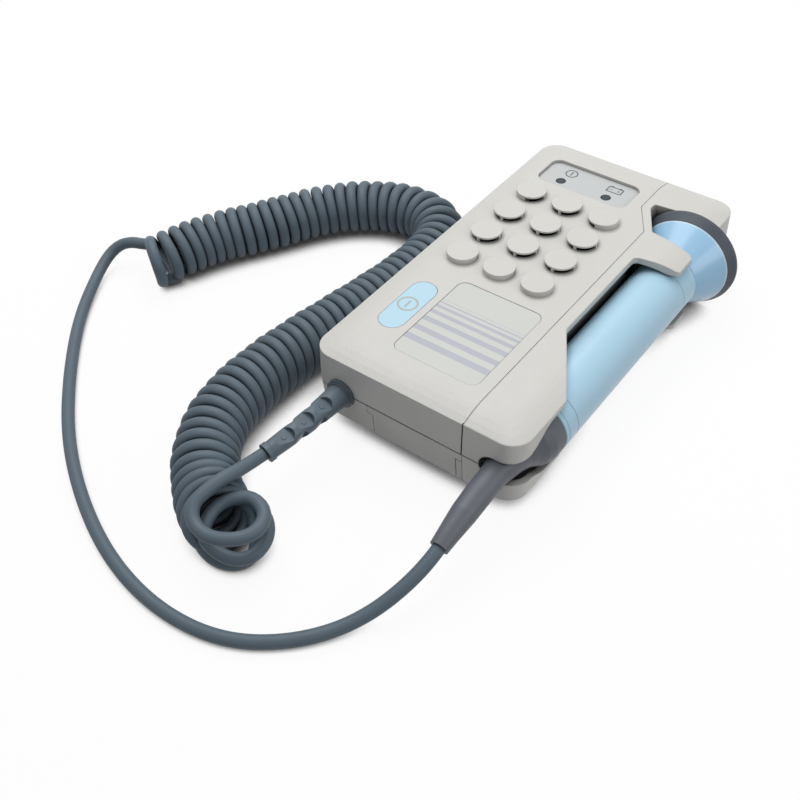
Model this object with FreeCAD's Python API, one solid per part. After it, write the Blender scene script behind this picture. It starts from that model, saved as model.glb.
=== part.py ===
"""Fetal doppler monitor: a pocket unit with its probe docked in a side holder.

Millimetres, +Z up. The unit lies on its back: the head of the probe, the
pocket clip and the pad of the battery door touch the floor at Z 0.
X is measured from the left wall and Y from the near end while the pieces
are made; the finished part is moved so that its origin is the middle of
the footprint.
"""
import FreeCAD
import Part
import math
import os

Vector = FreeCAD.Vector

# ---- housing -----------------------------------------------------------
HOUSING_WIDTH = 74.5
HOUSING_LENGTH = 140.0
HOUSING_CORNER = 7.0
UPPER_SIDE = 12.3            # parting line up to the upper edge
LOWER_SIDE = 11.3            # parting line down to the lower edge
UPPER_TAPER = 0.3
LOWER_TAPER = 0.8
CROWN_RISE = 2.0             # the faces bulge by this much inside their edges
CROWN_WIDTH = 10.0
CROWN_BANDS = 4
WALL = 2.0
SEAM_GAP = 0.15              # the fine line between two mouldings
CORNER_SHARPENING = 0.5      # corner radius lost per millimetre of inset
LEAST_CORNER = 0.8
GROOVE_HEIGHT = 0.3         # widens the parting line on the outside
GROOVE_DEPTH = 0.6

# ---- probe -------------------------------------------------------------
HEAD_RADIUS = 17.5
AXIS_ABOVE_PARTING = 0.5
AXIS_FROM_SIDE = 7.1
TUBE_RADIUS = 9.95
TAIL_START = 22.0            # stations along the probe, from the near end
TAIL_END = 28.5
HEAD_FROM_FAR_END = (43.2, 34.6, 23.4, 20.4, 18.5, 18.0)   # from the far end
CONE_RIM_RADIUS = 15.8
FACE_RADIUS = 16.6
FACE_CHAMFER = 1.0
PROBE_WALL = 1.8
JOINT_CHAMFER = 0.25         # fine groove where two rings of the probe meet
TAIL_GROOVE = 23.7
BOOT_PROFILE = ((0.0, 4.2), (6.5, 5.3), (9.4, 6.1), (11.9, 7.3),
                (14.3, 8.9), (17.0, 9.85), (19.0, 9.95))
BOOT_SHAPE = ((-2.5, 4.1, 0.0, 0.1), (-9.0, 4.05, 0.05, 0.6),
              (-16.5, 3.85, 0.1, 1.8), (-24.0, 3.15, 0.1, 3.5), (-28.0, 2.85, 0.1, 4.6))
RUNNING_GAP = 0.3
HEAD_GAP = 0.4
PROBE_TRAVEL = 45.0
CRYSTAL_RADIUS = 12.0
CRYSTAL_THICKNESS = 1.2
CRYSTAL_SPLIT = 1.0
PROBE_BOARD_WIDTH = 12.0
PROBE_BOARD_THICKNESS = 1.2
PROBE_BOARD_GAP = 4.0        # from the ends of the tube
CARRIER_LENGTH = 4.0

# ---- holder ------------------------------------------------------------
HOLDER_WALL = 1.55           # thinnest wall between the bore and the seam
HEAD_WALL = 1.2              # the same behind the head
LOBE_END = 24.5              # along the side of the housing
STRIP_WIDTH = 4.0            # what stays between the seam and the tube window
WINDOW_START = 49.5
FINGER_FROM_FAR_END = (47.4, 44.6, 34.6)         # from the far end
SEAM_FROM_FAR_END = (33.5, 21.3)
POCKET_FROM_FAR_END = (32.1, 20.5, 17.4, 15.0)   # head pocket
POCKET_NEAR_INSET = 16.5
POCKET_CORNER_INSET = 23.1
HOLDER_FILLET = 2.0
POCKET_FILLET = 1.0
SLOT_LEFT_SHIFT = 1.55       # the slot for the boot starts left of the axis
HOLDER_LIP = 2.2             # the holder's skin over the hollow beside the tube
HOLLOW_PAST_WINDOW = 6.0
FINGER_HOLLOW = 5.0          # how far the hollow reaches under the finger
LOWER_FINGER_REACH = 1.0     # the lower finger is longer than the upper one
FINGER_CORNER = 2.2          # round corners of the finger and of the lobe, seen from above

# ---- loudspeaker grille --------------------------------------------------
GRILLE_BELOW_DISPLAY = 4.2
CAP_COLUMNS = 3
CAP_ROWS = 4
CAP_PITCH = 14.1
CAP_RADIUS = 5.25
CAP_HEIGHT = 2.0
CAP_LID = 0.6
CAP_LIP = 0.75               # the bore under a cap is smaller by this
CAP_RIB = 0.9
SOUND_RADIUS = 21.4
SPEAKER_RADIUS = 21.0
SPEAKER_FLANGE = 2.6
GASKET_THICKNESS = 0.5
FLANGE_THICKNESS = 1.2
BASKET_DEPTH = 4.6
MAGNET_RADIUS = 11.0
MAGNET_DEPTH = 5.0
CONE_SHEET = 0.5
CONE_DEPTH = 3.0
CONE_LEDGE = 1.0             # what the cone stands on inside the frame
CONE_EDGE_GAP = 0.1
CONE_ROLL = 2.8
DUST_CAP_RADIUS = 6.0
DUST_CAP_RISE = 1.5

# ---- top face ------------------------------------------------------------
BUTTON_BELOW_LABEL_MIDDLE = 0.4
BUTTON_RADIUS = 4.45
BUTTON_SPAN = 15.8           # between the centres of its two round ends
BUTTON_GAP = 0.12
BUTTON_FLANGE = 0.8
BUTTON_FLANGE_THICKNESS = 1.0
BUTTON_TRAVEL = 0.4
BUTTON_REST_GAP = 0.05       # left over the switch when the button is down
STEM_RADIUS = 1.5
LABEL_START = 12.7
LABEL_FROM_BUTTON = 2.65
LABEL_FROM_SEAM = 4.3
LABEL_BELOW_GRILLE = 5.4
LABEL_CORNER = 3.0
LABEL_DEPTH = 0.4
LABEL_THICKNESS = 0.3
INLAY_GAP = 0.12
DISPLAY_LEFT = 9.2
DISPLAY_FROM_SEAM = 4.3
DISPLAY_FROM_FAR_END = 11.7
DISPLAY_HEIGHT = 15.0
DISPLAY_CORNER = 3.5
DISPLAY_DEPTH = 1.1
DISPLAY_THICKNESS = 0.5
DISPLAY_LEDGE = 1.5
LED_RADIUS = 1.7
LED_HOLE_GAP = 0.12
LED_FLANGE = 0.4
LED_DOME_DEPTH = 3.0
LED_SUNK = 0.05
LED_EDGE_DROP = 0.25
LED_INSETS = (8.0, 8.9)
LED_ABOVE_EDGE = 4.7

# ---- inside --------------------------------------------------------------
BOARD_UNDERSIDE_ABOVE_FLOOR = 6.3
BOARD_THICKNESS = 1.6
BOARD_MARGIN = 1.2
BOARD_STRIP_START = 13.0
BOARD_FROM_BAY = 2.3
BOARD_BACK_FROM_BAY = 3.0
BOSS_RADIUS = 4.2
POST_RADIUS = 3.0
BOSS_NECK = 0.4
SCREW_RADIUS = 1.2
SCREW_HEAD_RADIUS = 2.4
SCREW_HEAD_HEIGHT = 1.6
SCREW_HEAD_SUNK = 1.2
SCREW_BITE = 8.0
SCREW_GAP = 0.1
SCREW_NEAR_LEFT = (6.5, 8.5)
SCREW_RIGHT = (7.5, 5.0)     # back from the place where the seam turns
SCREW_FAR_LEFT = (6.5, 7.5)
SCREW_FAR_RIGHT = (5.8, 7.0)
SWITCH_SIZE = 5.2
SWITCH_HEIGHT = 3.4
PLUNGER_RADIUS = 1.7
PLUNGER_HEIGHT = 0.6

# ---- battery ---------------------------------------------------------------
BATTERY = (26.5, 48.5, 17.5)
BATTERY_GAP = 0.3
BATTERY_START = 3.0
BAY_SIDE_ROOM = 1.65
BAY_WALL = 1.5
BAY_PARTITION = 1.5
CONTACT_THICKNESS = 3.0
CONTACT_INSET = 1.0
DOOR_PAST_BAY = 1.0          # front of the door, above its step
DOOR_STEP = 2.0
DOOR_STEP_BELOW_PARTING = 2.9
DOOR_GAP = 0.15
DOOR_TRAVEL = 12.0
DOOR_PAD = (30.0, 12.0)
DOOR_PAD_START = 10.0
DOOR_PAD_CORNER = 4.0
LATCH_FROM_SEAM = 2.3
LATCH_LINE = 0.3

# ---- sockets, wheel and clip ----------------------------------------------
WHEEL_FROM_FAR_END = 33.0
WHEEL_RADIUS = 8.0
WHEEL_PROUD = 0.8
WHEEL_THICKNESS = 3.0
WHEEL_ABOVE_PARTING = 4.3
WHEEL_SIDE_GAP = 0.3
WHEEL_NOTCHES = 16
WHEEL_NOTCH_RADIUS = 0.5
SHAFT_RADIUS = 2.2
SHAFT_GAP = 0.08
POT_SIZE = 9.0
POT_SHOULDER = 3.2
JACK_FROM_FAR_END = 16.0
JACK_ABOVE_PARTING = 4.0
JACK_BORE_RADIUS = 1.8
JACK_BORE_LENGTH = 14.0
JACK_SLEEVE_RADIUS = 3.0
JACK_WIDTH = 6.6
JACK_BACK = 1.5
CLIP_WIDTH = 26.0
CLIP_FROM_DOOR = 4.0
CLIP_FROM_FAR_END = 18.0
CLIP_THICKNESS = 1.3
CLIP_ROOT = 11.0
CLIP_LIP = 3.0
CLIP_LIP_GAP = 0.3
CLIP_CORNER = 3.0
CLIP_SCREW_SPACING = 14.0
CLIP_SCREW_BOSS = 3.5
CLIP_SCREW_REACH = 8.0

# ---- cord ------------------------------------------------------------------
CORD_RADIUS = 2.1
COIL_RADIUS = 9.5
RELIEF_LEFT_OF_BUTTON = 2.15
RELIEF_FLANGE_RADIUS = 4.9
RELIEF_INNER_RADIUS = 4.3
RELIEF_FLANGE_THICKNESS = 1.0
RELIEF_NECK_RADIUS = 3.1
RELIEF_SHAPE = ((-1.0, 3.9, 0.0, 0.0), (-8.0, 3.6, -0.25, 0.05),
                   (-16.0, 3.3, -0.9, 0.35), (-24.0, 3.0, -2.0, 0.9),
                   (-29.4, 2.8, -3.1, 1.6))
RELIEF_END = (-3.45, -31.0, -1.85)
RELIEF_COLLAR_RISE = 0.3
RELIEF_TURN = 22.0           # degrees by which the sleeve sits turned about its own axis
SCALLOP_STARTS = (-6.8, -14.3, -21.8)       # above and below
SIDE_SCALLOP_STARTS = (-10.3, -17.9)
SCALLOP_RADIUS = 3.0
SCALLOP_LENGTH = 5.6
SCALLOP_DEPTH = 1.4          # at the wall, running out towards the tip
SIDE_SCALLOP_RADIUS = 2.4
SIDE_SCALLOP_LENGTH = 4.6
SIDE_SCALLOP_DEPTH = 1.2
SCALLOP_RUN_OUT = 0.15
DIMPLE_RADIUS = 0.8
DIMPLE_RISE = 0.15
DIMPLE_FROM_WALL = 3.2
RELIEF_STEP = 0.5            # second, smaller ring of the flange
BEND_SHARE = 0.45
COIL_EXIT = (20.0, 15.0)     # straight cord before and after the coil
UNIT_LEAD_EXIT = 9.0
PROBE_LEAD_EXIT = 9.0
UNIT_LEAD = ((1.8, -54.5, 12.6), (9.0, -66.0, 12.0), (23.0, -65.0, 10.4),
             (28.0, -52.0, 8.2), (19.0, -40.6, 6.6))
COIL = ((-99.5, 15.5), (-86.5, 33.0), (-73.1, 58.2), (-59.8, 78.7),
        (-44.3, 92.4), (-26.2, 97.9), (-13.1, 90.4), (-10.3, 72.0),
        (-12.0, 52.0), (-14.7, 31.8), (-18.7, 12.8), (-21.5, -5.9),
        (-18.2, -23.0), (-9.0, -34.5))
PROBE_LEAD = ((60.3, -54.0, 2.9), (49.4, -69.3, 2.3), (33.6, -79.9, 2.3),
              (12.7, -82.7, 2.3), (-10.1, -78.6, 2.3), (-33.6, -68.3, 2.3),
              (-57.7, -54.7, 2.3), (-79.5, -35.8, 2.3), (-98.3, -14.7, 2.3))

# ---- derived places --------------------------------------------------------
AXIS_Z = HEAD_RADIUS
AXIS_X = HOUSING_WIDTH - AXIS_FROM_SIDE
PARTING_Z = AXIS_Z - AXIS_ABOVE_PARTING
UPPER_EDGE_Z = PARTING_Z + UPPER_SIDE
LOWER_EDGE_Z = PARTING_Z - LOWER_SIDE
TOP_Z = UPPER_EDGE_Z + CROWN_RISE
BACK_Z = LOWER_EDGE_Z - CROWN_RISE
CEILING_Z = TOP_Z - WALL
FLOOR_Z = BACK_Z + WALL
BORE_RADIUS = TUBE_RADIUS + RUNNING_GAP
SEAM_X = AXIS_X - BORE_RADIUS - HOLDER_WALL
SEAM_FAR_X = AXIS_X - HEAD_RADIUS - HEAD_GAP - HEAD_WALL
TUBE_END = HOUSING_LENGTH - HEAD_FROM_FAR_END[0]
NECK_END = HOUSING_LENGTH - HEAD_FROM_FAR_END[1]
CONE_END = HOUSING_LENGTH - HEAD_FROM_FAR_END[2]
RING_WIDEST = HOUSING_LENGTH - HEAD_FROM_FAR_END[3]
RING_END = HOUSING_LENGTH - HEAD_FROM_FAR_END[4]
FACE_END = HOUSING_LENGTH - HEAD_FROM_FAR_END[5]
WINDOW_END = HOUSING_LENGTH - FINGER_FROM_FAR_END[0]
FINGER_START = HOUSING_LENGTH - FINGER_FROM_FAR_END[1]
FINGER_END = HOUSING_LENGTH - FINGER_FROM_FAR_END[2]
SEAM_CHAMFER_START = HOUSING_LENGTH - SEAM_FROM_FAR_END[0]
SEAM_CHAMFER_END = HOUSING_LENGTH - SEAM_FROM_FAR_END[1]
POCKET_NEAR = HOUSING_LENGTH - POCKET_FROM_FAR_END[0]
POCKET_CORNER_NEAR = HOUSING_LENGTH - POCKET_FROM_FAR_END[1]
POCKET_CORNER_FAR = HOUSING_LENGTH - POCKET_FROM_FAR_END[2]
POCKET_FAR = HOUSING_LENGTH - POCKET_FROM_FAR_END[3]
GRILLE_X = SEAM_X / 2
CLIP_X = SEAM_X / 2
BUTTON_X = SEAM_X / 4
DISPLAY_X = (DISPLAY_LEFT, SEAM_FAR_X - DISPLAY_FROM_SEAM)
DISPLAY_FAR = HOUSING_LENGTH - DISPLAY_FROM_FAR_END
DISPLAY_Y = (DISPLAY_FAR - DISPLAY_HEIGHT, DISPLAY_FAR)
LED_X = (DISPLAY_X[0] + LED_INSETS[0], DISPLAY_X[1] - LED_INSETS[1])
LED_Y = DISPLAY_Y[0] + LED_ABOVE_EDGE
GRILLE_HALF = (CAP_ROWS - 1) * CAP_PITCH / 2 + CAP_RADIUS
GRILLE_Y = DISPLAY_Y[0] - GRILLE_BELOW_DISPLAY - GRILLE_HALF
LABEL_X = (BUTTON_X + BUTTON_RADIUS + LABEL_FROM_BUTTON, SEAM_X - LABEL_FROM_SEAM)
LABEL_Y = (LABEL_START, GRILLE_Y - GRILLE_HALF - LABEL_BELOW_GRILLE)
BUTTON_Y = (LABEL_Y[0] + LABEL_Y[1]) / 2 - BUTTON_BELOW_LABEL_MIDDLE
RELIEF_X = BUTTON_X - RELIEF_LEFT_OF_BUTTON
CONTACT_END = BATTERY_START + BATTERY[1] + CONTACT_THICKNESS
DOOR_LENGTH = CONTACT_END + BAY_PARTITION
BAY_LEFT = SEAM_X - WALL - BATTERY[0] - 2 * BAY_SIDE_ROOM
DOOR_LEFT = BAY_LEFT - BAY_WALL - DOOR_PAST_BAY
BATTERY_LEFT = BAY_LEFT + BAY_SIDE_ROOM
BOARD_STRIP_RIGHT = BAY_LEFT - BAY_WALL - BOARD_FROM_BAY
BOARD_BACK_START = DOOR_LENGTH + BOARD_BACK_FROM_BAY
WHEEL_Y = HOUSING_LENGTH - WHEEL_FROM_FAR_END
JACK_Y = HOUSING_LENGTH - JACK_FROM_FAR_END
CLIP_START = DOOR_LENGTH + CLIP_FROM_DOOR
CLIP_END = HOUSING_LENGTH - CLIP_FROM_FAR_END
SCREW_PLACES = (SCREW_NEAR_LEFT,
                (SEAM_X - SCREW_RIGHT[0], SEAM_CHAMFER_START - SCREW_RIGHT[1]),
                (SCREW_FAR_LEFT[0], HOUSING_LENGTH - SCREW_FAR_LEFT[1]),
                (SEAM_FAR_X - SCREW_FAR_RIGHT[0], HOUSING_LENGTH - SCREW_FAR_RIGHT[1]))
PROBE_BOARD_START = TAIL_END + PROBE_BOARD_GAP
PROBE_BOARD_END = TUBE_END - PROBE_BOARD_GAP
BOARD_Z = FLOOR_Z + BOARD_UNDERSIDE_ABOVE_FLOOR
BOARD_TOP_Z = BOARD_Z + BOARD_THICKNESS
POST_Z = BOARD_TOP_Z + BOSS_NECK
WHEEL_X = WHEEL_RADIUS - WHEEL_PROUD
WHEEL_Z = PARTING_Z + WHEEL_ABOVE_PARTING
JACK_Z = PARTING_Z + JACK_ABOVE_PARTING
RELIEF_Z = PARTING_Z
REACH = 400.0                # longer than anything, for cutting tools
ORIGIN = Vector(-(AXIS_X + HEAD_RADIUS - WHEEL_PROUD) / 2, -HOUSING_LENGTH / 2, 0)


# ---- shape helpers ---------------------------------------------------------
def box(low, high):
    size = Vector(*high) - Vector(*low)
    return Part.makeBox(size.x, size.y, size.z, Vector(*low))


def cylinder(radius, start, end):
    start = Vector(*start)
    run = Vector(*end) - start
    return Part.makeCylinder(radius, run.Length, start, run)


def polygon_wire(points, z, radii=None):
    """Closed outline at height z; each corner may have a radius."""
    count = len(points)
    if radii is None:
        radii = [0.0] * count
    edges = []
    first = None
    last = None
    for index in range(count):
        corner = Vector(points[index][0], points[index][1], z)
        before = Vector(points[index - 1][0], points[index - 1][1], z)
        after = Vector(points[(index + 1) % count][0], points[(index + 1) % count][1], z)
        entry = corner
        leave = corner
        if radii[index] > 0:
            inward = (before - corner).normalize()
            outward = (after - corner).normalize()
            half = inward.getAngle(outward) / 2
            cut = radii[index] / math.tan(half)
            entry = corner + inward * cut
            leave = corner + outward * cut
            bisector = (inward + outward).normalize()
            middle = corner + bisector * (radii[index] / math.sin(half) - radii[index])
        if last is not None and (entry - last).Length > 1e-6:
            edges.append(Part.LineSegment(last, entry).toShape())
        if first is None:
            first = entry
        if radii[index] > 0:
            edges.append(Part.Arc(entry, middle, leave).toShape())
        last = leave
    if (first - last).Length > 1e-6:
        edges.append(Part.LineSegment(last, first).toShape())
    return Part.Wire(edges)


def prism(points, low, high, radii=None):
    face = Part.Face(polygon_wire(points, low, radii))
    return face.extrude(Vector(0, 0, high - low))


def rounded_rectangle(x_span, y_span, corner, z):
    points = [(x_span[0], y_span[0]), (x_span[1], y_span[0]),
              (x_span[1], y_span[1]), (x_span[0], y_span[1])]
    return polygon_wire(points, z, [corner] * 4)


def rounded_slab(x_span, y_span, corner, low, high):
    face = Part.Face(rounded_rectangle(x_span, y_span, corner, low))
    return face.extrude(Vector(0, 0, high - low))


def inset_span(span, inset):
    return (span[0] + inset, span[1] - inset)


def revolve_y(profile, x=AXIS_X, z=AXIS_Z):
    """Turn (y, radius) points about the line along Y through x and z."""
    points = [Vector(x + radius, y, z) for y, radius in profile]
    points.append(points[0])
    face = Part.Face(Part.makePolygon(points))
    return face.revolve(Vector(x, 0, z), Vector(0, 1, 0), 360)


def revolve_z(profile, x, y):
    """Turn (radius, z) points about the upright line through x and y."""
    points = [Vector(x + radius, y, z) for radius, z in profile]
    points.append(points[0])
    face = Part.Face(Part.makePolygon(points))
    return face.revolve(Vector(x, y, 0), Vector(0, 0, 1), 360)


def half_space(points):
    return prism(points, -REACH, REACH)


# ---- housing body ----------------------------------------------------------
def body_section(inset, z):
    corner = max(HOUSING_CORNER - inset * CORNER_SHARPENING, LEAST_CORNER)
    x_span = (inset, HOUSING_WIDTH - inset)
    y_span = (inset, HOUSING_LENGTH - inset)
    return rounded_rectangle(x_span, y_span, corner, z)


def crowned_body(inset=0.0):
    """The whole housing form, or the same form moved in by inset."""
    sections = [body_section(inset, PARTING_Z)]
    above = [body_section(inset + UPPER_TAPER, UPPER_EDGE_Z - inset)]
    below = [body_section(inset + LOWER_TAPER, LOWER_EDGE_Z + inset)]
    for band in range(1, CROWN_BANDS + 1):
        share = band / CROWN_BANDS
        rise = CROWN_RISE * (1 - (1 - share) ** 2)
        width = CROWN_WIDTH * share
        above.append(body_section(inset + UPPER_TAPER + width, UPPER_EDGE_Z - inset + rise))
        below.append(body_section(inset + LOWER_TAPER + width, LOWER_EDGE_Z + inset - rise))
    sections = below[::-1] + sections + above
    return Part.makeLoft(sections, True, True)


def main_side(offset=0.0):
    """Everything left of the seam, moved left by offset."""
    return half_space([(-REACH, -REACH), (SEAM_X - offset, -REACH),
                       (SEAM_X - offset, SEAM_CHAMFER_START),
                       (SEAM_FAR_X - offset, SEAM_CHAMFER_END),
                       (SEAM_FAR_X - offset, REACH), (-REACH, REACH)])


def above(z):
    return box((-REACH, -REACH, z), (REACH, REACH, REACH))


def below(z):
    return box((-REACH, -REACH, -REACH), (REACH, REACH, z))


def parting_groove():
    """A shallow step round the housing, just above the parting line."""
    low = PARTING_Z + SEAM_GAP / 2
    band = box((-REACH, -REACH, low), (REACH, REACH, low + GROOVE_HEIGHT))
    return band.cut(crowned_body(GROOVE_DEPTH))


def seam_groove():
    """The same step down the near end of the seam."""
    edge = SEAM_X - SEAM_GAP / 2
    return box((edge - GROOVE_HEIGHT, -WALL, PARTING_Z),
               (SEAM_X, GROOVE_DEPTH + UPPER_TAPER, UPPER_EDGE_Z + CROWN_RISE / 2))


# ---- grille ----------------------------------------------------------------
def cap_places():
    places = []
    for column in range(CAP_COLUMNS):
        for row in range(CAP_ROWS):
            x = GRILLE_X + (column - (CAP_COLUMNS - 1) / 2) * CAP_PITCH
            y = GRILLE_Y + (row - (CAP_ROWS - 1) / 2) * CAP_PITCH
            places.append((x, y))
    return places


def grille_caps():
    lids = []
    for x, y in cap_places():
        low = (x, y, TOP_Z - CROWN_RISE)
        lids.append(cylinder(CAP_RADIUS, low, (x, y, TOP_Z + CAP_HEIGHT)))
    return lids


def cap_ribs(x, y, low, high):
    """Four short posts under the edge of a cap."""
    reach = CAP_RADIUS * 2
    along = box((-reach, -CAP_RIB / 2, low), (reach, CAP_RIB / 2, high))
    across = box((-CAP_RIB / 2, -reach, low), (CAP_RIB / 2, reach, high))
    cross = along.fuse(across)
    cross.translate(Vector(x, y, 0))
    return cross.cut(cylinder(CAP_RADIUS - CAP_LIP, (x, y, low), (x, y, high)))


def open_quarters(x, y):
    """The quarters of a cap whose middles are inside the sound circle."""
    quarters = []
    for side_x in (-1, 1):
        for side_y in (-1, 1):
            middle_x = x + side_x * CAP_RADIUS * math.sqrt(0.5)
            middle_y = y + side_y * CAP_RADIUS * math.sqrt(0.5)
            if math.hypot(middle_x - GRILLE_X, middle_y - GRILLE_Y) < SOUND_RADIUS:
                far_x = x + side_x * CAP_RADIUS * 2
                far_y = y + side_y * CAP_RADIUS * 2
                quarters.append(box((min(x, far_x), min(y, far_y), 0),
                                    (max(x, far_x), max(y, far_y), REACH)))
    return quarters


def grille_openings():
    """Side windows and bores of the caps, only inside the sound circle."""
    lid_z = TOP_Z + CAP_HEIGHT - CAP_LID
    openings = []
    for x, y in cap_places():
        bore = cylinder(CAP_RADIUS - CAP_LIP, (x, y, CEILING_Z - WALL), (x, y, lid_z))
        windows = cylinder(CAP_RADIUS + CAP_LIP, (x, y, TOP_Z), (x, y, lid_z))
        opening = bore.fuse(windows).cut(cap_ribs(x, y, CEILING_Z - WALL, lid_z))
        quarters = open_quarters(x, y)
        if len(quarters) == 1:
            opening = opening.common(quarters[0])
        elif len(quarters) < 4:
            opening = opening.common(quarters[0].fuse(quarters[1:]))
        openings.append(opening)
    return openings


# ---- shells ----------------------------------------------------------------
def button_outline(gap, low, high):
    x_span = (BUTTON_X - BUTTON_RADIUS - gap, BUTTON_X + BUTTON_RADIUS + gap)
    half = BUTTON_SPAN / 2 + BUTTON_RADIUS + gap
    corner = BUTTON_RADIUS + gap - 0.001
    return rounded_slab(x_span, (BUTTON_Y - half, BUTTON_Y + half), corner, low, high)


def button_openings():
    flange_gap = BUTTON_FLANGE + BUTTON_GAP * 2
    through = button_outline(BUTTON_GAP, CEILING_Z - WALL, TOP_Z + CROWN_RISE)
    seat = button_outline(flange_gap, CEILING_Z - WALL - CROWN_RISE, CEILING_Z)
    return [through, seat]


def display_openings():
    seat_z = TOP_Z - DISPLAY_DEPTH - DISPLAY_THICKNESS
    recess = rounded_slab(DISPLAY_X, DISPLAY_Y, DISPLAY_CORNER, seat_z, REACH)
    inner_x = inset_span(DISPLAY_X, DISPLAY_LEDGE)
    inner_y = inset_span(DISPLAY_Y, DISPLAY_LEDGE)
    inner = rounded_slab(inner_x, inner_y, DISPLAY_CORNER - DISPLAY_LEDGE, PARTING_Z, REACH)
    return [recess, inner]


def label_recess():
    return rounded_slab(LABEL_X, LABEL_Y, LABEL_CORNER, TOP_Z - LABEL_DEPTH, REACH)


def speaker_seat():
    centre = (GRILLE_X, GRILLE_Y)
    return cylinder(SPEAKER_RADIUS + RUNNING_GAP, centre + (PARTING_Z,), centre + (CEILING_Z,))


def relief_hole():
    start = (RELIEF_X, -WALL, RELIEF_Z)
    return cylinder(RELIEF_NECK_RADIUS + SCREW_GAP, start, (RELIEF_X, WALL * 2, RELIEF_Z))


def wheel_slot():
    chord = math.sqrt(WHEEL_RADIUS ** 2 - (WHEEL_X - WALL) ** 2)
    half = chord + WHEEL_SIDE_GAP * 2
    return box((-WALL, WHEEL_Y - half, WHEEL_Z - WHEEL_SIDE_GAP),
               (WALL * 2, WHEEL_Y + half, WHEEL_Z + WHEEL_THICKNESS + WHEEL_SIDE_GAP))


def jack_hole():
    start = (-WALL, JACK_Y, JACK_Z)
    return cylinder(JACK_SLEEVE_RADIUS + SCREW_GAP, start, (WALL * 2, JACK_Y, JACK_Z))


def main_cavity():
    return crowned_body(WALL).common(main_side(WALL))


def posts():
    made = []
    for x, y in SCREW_PLACES:
        made.append(cylinder(POST_RADIUS, (x, y, POST_Z), (x, y, CEILING_Z + WALL / 2)))
    return made


def screw_bores():
    made = []
    for x, y in SCREW_PLACES:
        head_z = BACK_Z + SCREW_HEAD_SUNK
        hole = cylinder(SCREW_RADIUS + SCREW_GAP, (x, y, 0), (x, y, POST_Z + SCREW_BITE))
        head = cylinder(SCREW_HEAD_RADIUS + SCREW_GAP, (x, y, 0),
                        (x, y, head_z + SCREW_HEAD_HEIGHT))
        made.append(hole.fuse(head))
    return made


def make_upper_shell():
    skin = crowned_body().common(main_side(SEAM_GAP / 2)).common(above(PARTING_Z + SEAM_GAP / 2))
    skin = skin.cut(main_cavity())
    skin = skin.fuse(grille_caps() + posts())
    tools = grille_openings() + button_openings() + display_openings()
    tools += [label_recess(), relief_hole(), wheel_slot(), jack_hole()]
    tools += [parting_groove(), seam_groove()]
    tools += screw_bores()
    shell = skin.cut(tools)
    return shell.cut(speaker_seat()).removeSplitter()


def lower_bosses():
    made = []
    for x, y in SCREW_PLACES:
        made.append(cylinder(BOSS_RADIUS, (x, y, FLOOR_Z - WALL / 2), (x, y, BOARD_Z)))
        made.append(cylinder(POST_RADIUS, (x, y, BOARD_Z), (x, y, POST_Z)))
    for x in clip_screw_x():
        low = (x, clip_screw_y(), FLOOR_Z - WALL / 2)
        made.append(cylinder(CLIP_SCREW_BOSS, low, (x, clip_screw_y(), CLIP_SCREW_REACH + WALL)))
    return made


def bay_walls():
    inner_end = SEAM_X - WALL / 2
    start = WALL / 2
    low = FLOOR_Z - WALL / 2
    side = box((BAY_LEFT - BAY_WALL, start, low), (BAY_LEFT, DOOR_LENGTH, PARTING_Z - SEAM_GAP))
    partition = box((BAY_LEFT - BAY_WALL, CONTACT_END, low),
                    (inner_end, DOOR_LENGTH, PARTING_Z - SEAM_GAP))
    return [side.fuse(partition).common(crowned_body(WALL / 2))]


def door_skin(gap):
    """The part of the housing's skin that the battery door takes, grown by gap."""
    step_z = PARTING_Z - DOOR_STEP_BELOW_PARTING
    top_z = PARTING_Z - SEAM_GAP / 2 - DOOR_GAP + gap
    panel_z = LOWER_EDGE_Z + WALL + gap
    end_y = WALL + LOWER_TAPER + gap
    upper_front = box((DOOR_LEFT - gap, -WALL, step_z - gap), (SEAM_X, end_y, top_z))
    lower_front = box((DOOR_LEFT + DOOR_STEP - gap, -WALL, 0), (SEAM_X, end_y, step_z))
    right = SEAM_X - WALL - DOOR_GAP + gap
    panel = box((DOOR_LEFT + DOOR_STEP - gap, -WALL, 0), (right, DOOR_LENGTH + gap, panel_z))
    skin = crowned_body(-gap).cut(crowned_body(WALL + gap))
    return skin.common(upper_front.fuse([lower_front, panel]))


def battery_space():
    return box((BATTERY_LEFT - BATTERY_GAP, BATTERY_START - BATTERY_GAP, FLOOR_Z),
               (BATTERY_LEFT + BATTERY[0] + BATTERY_GAP, BATTERY_START + BATTERY[1],
                FLOOR_Z + BATTERY[2] + BATTERY_GAP * 2))


def make_lower_shell():
    skin = crowned_body().common(main_side(SEAM_GAP / 2)).common(below(PARTING_Z - SEAM_GAP / 2))
    skin = skin.cut(main_cavity())
    skin = skin.fuse(lower_bosses() + bay_walls())
    tools = [door_skin(DOOR_GAP), battery_space(), relief_hole()]
    tools += screw_bores() + clip_screw_bores()
    return skin.cut(tools).removeSplitter()


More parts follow.
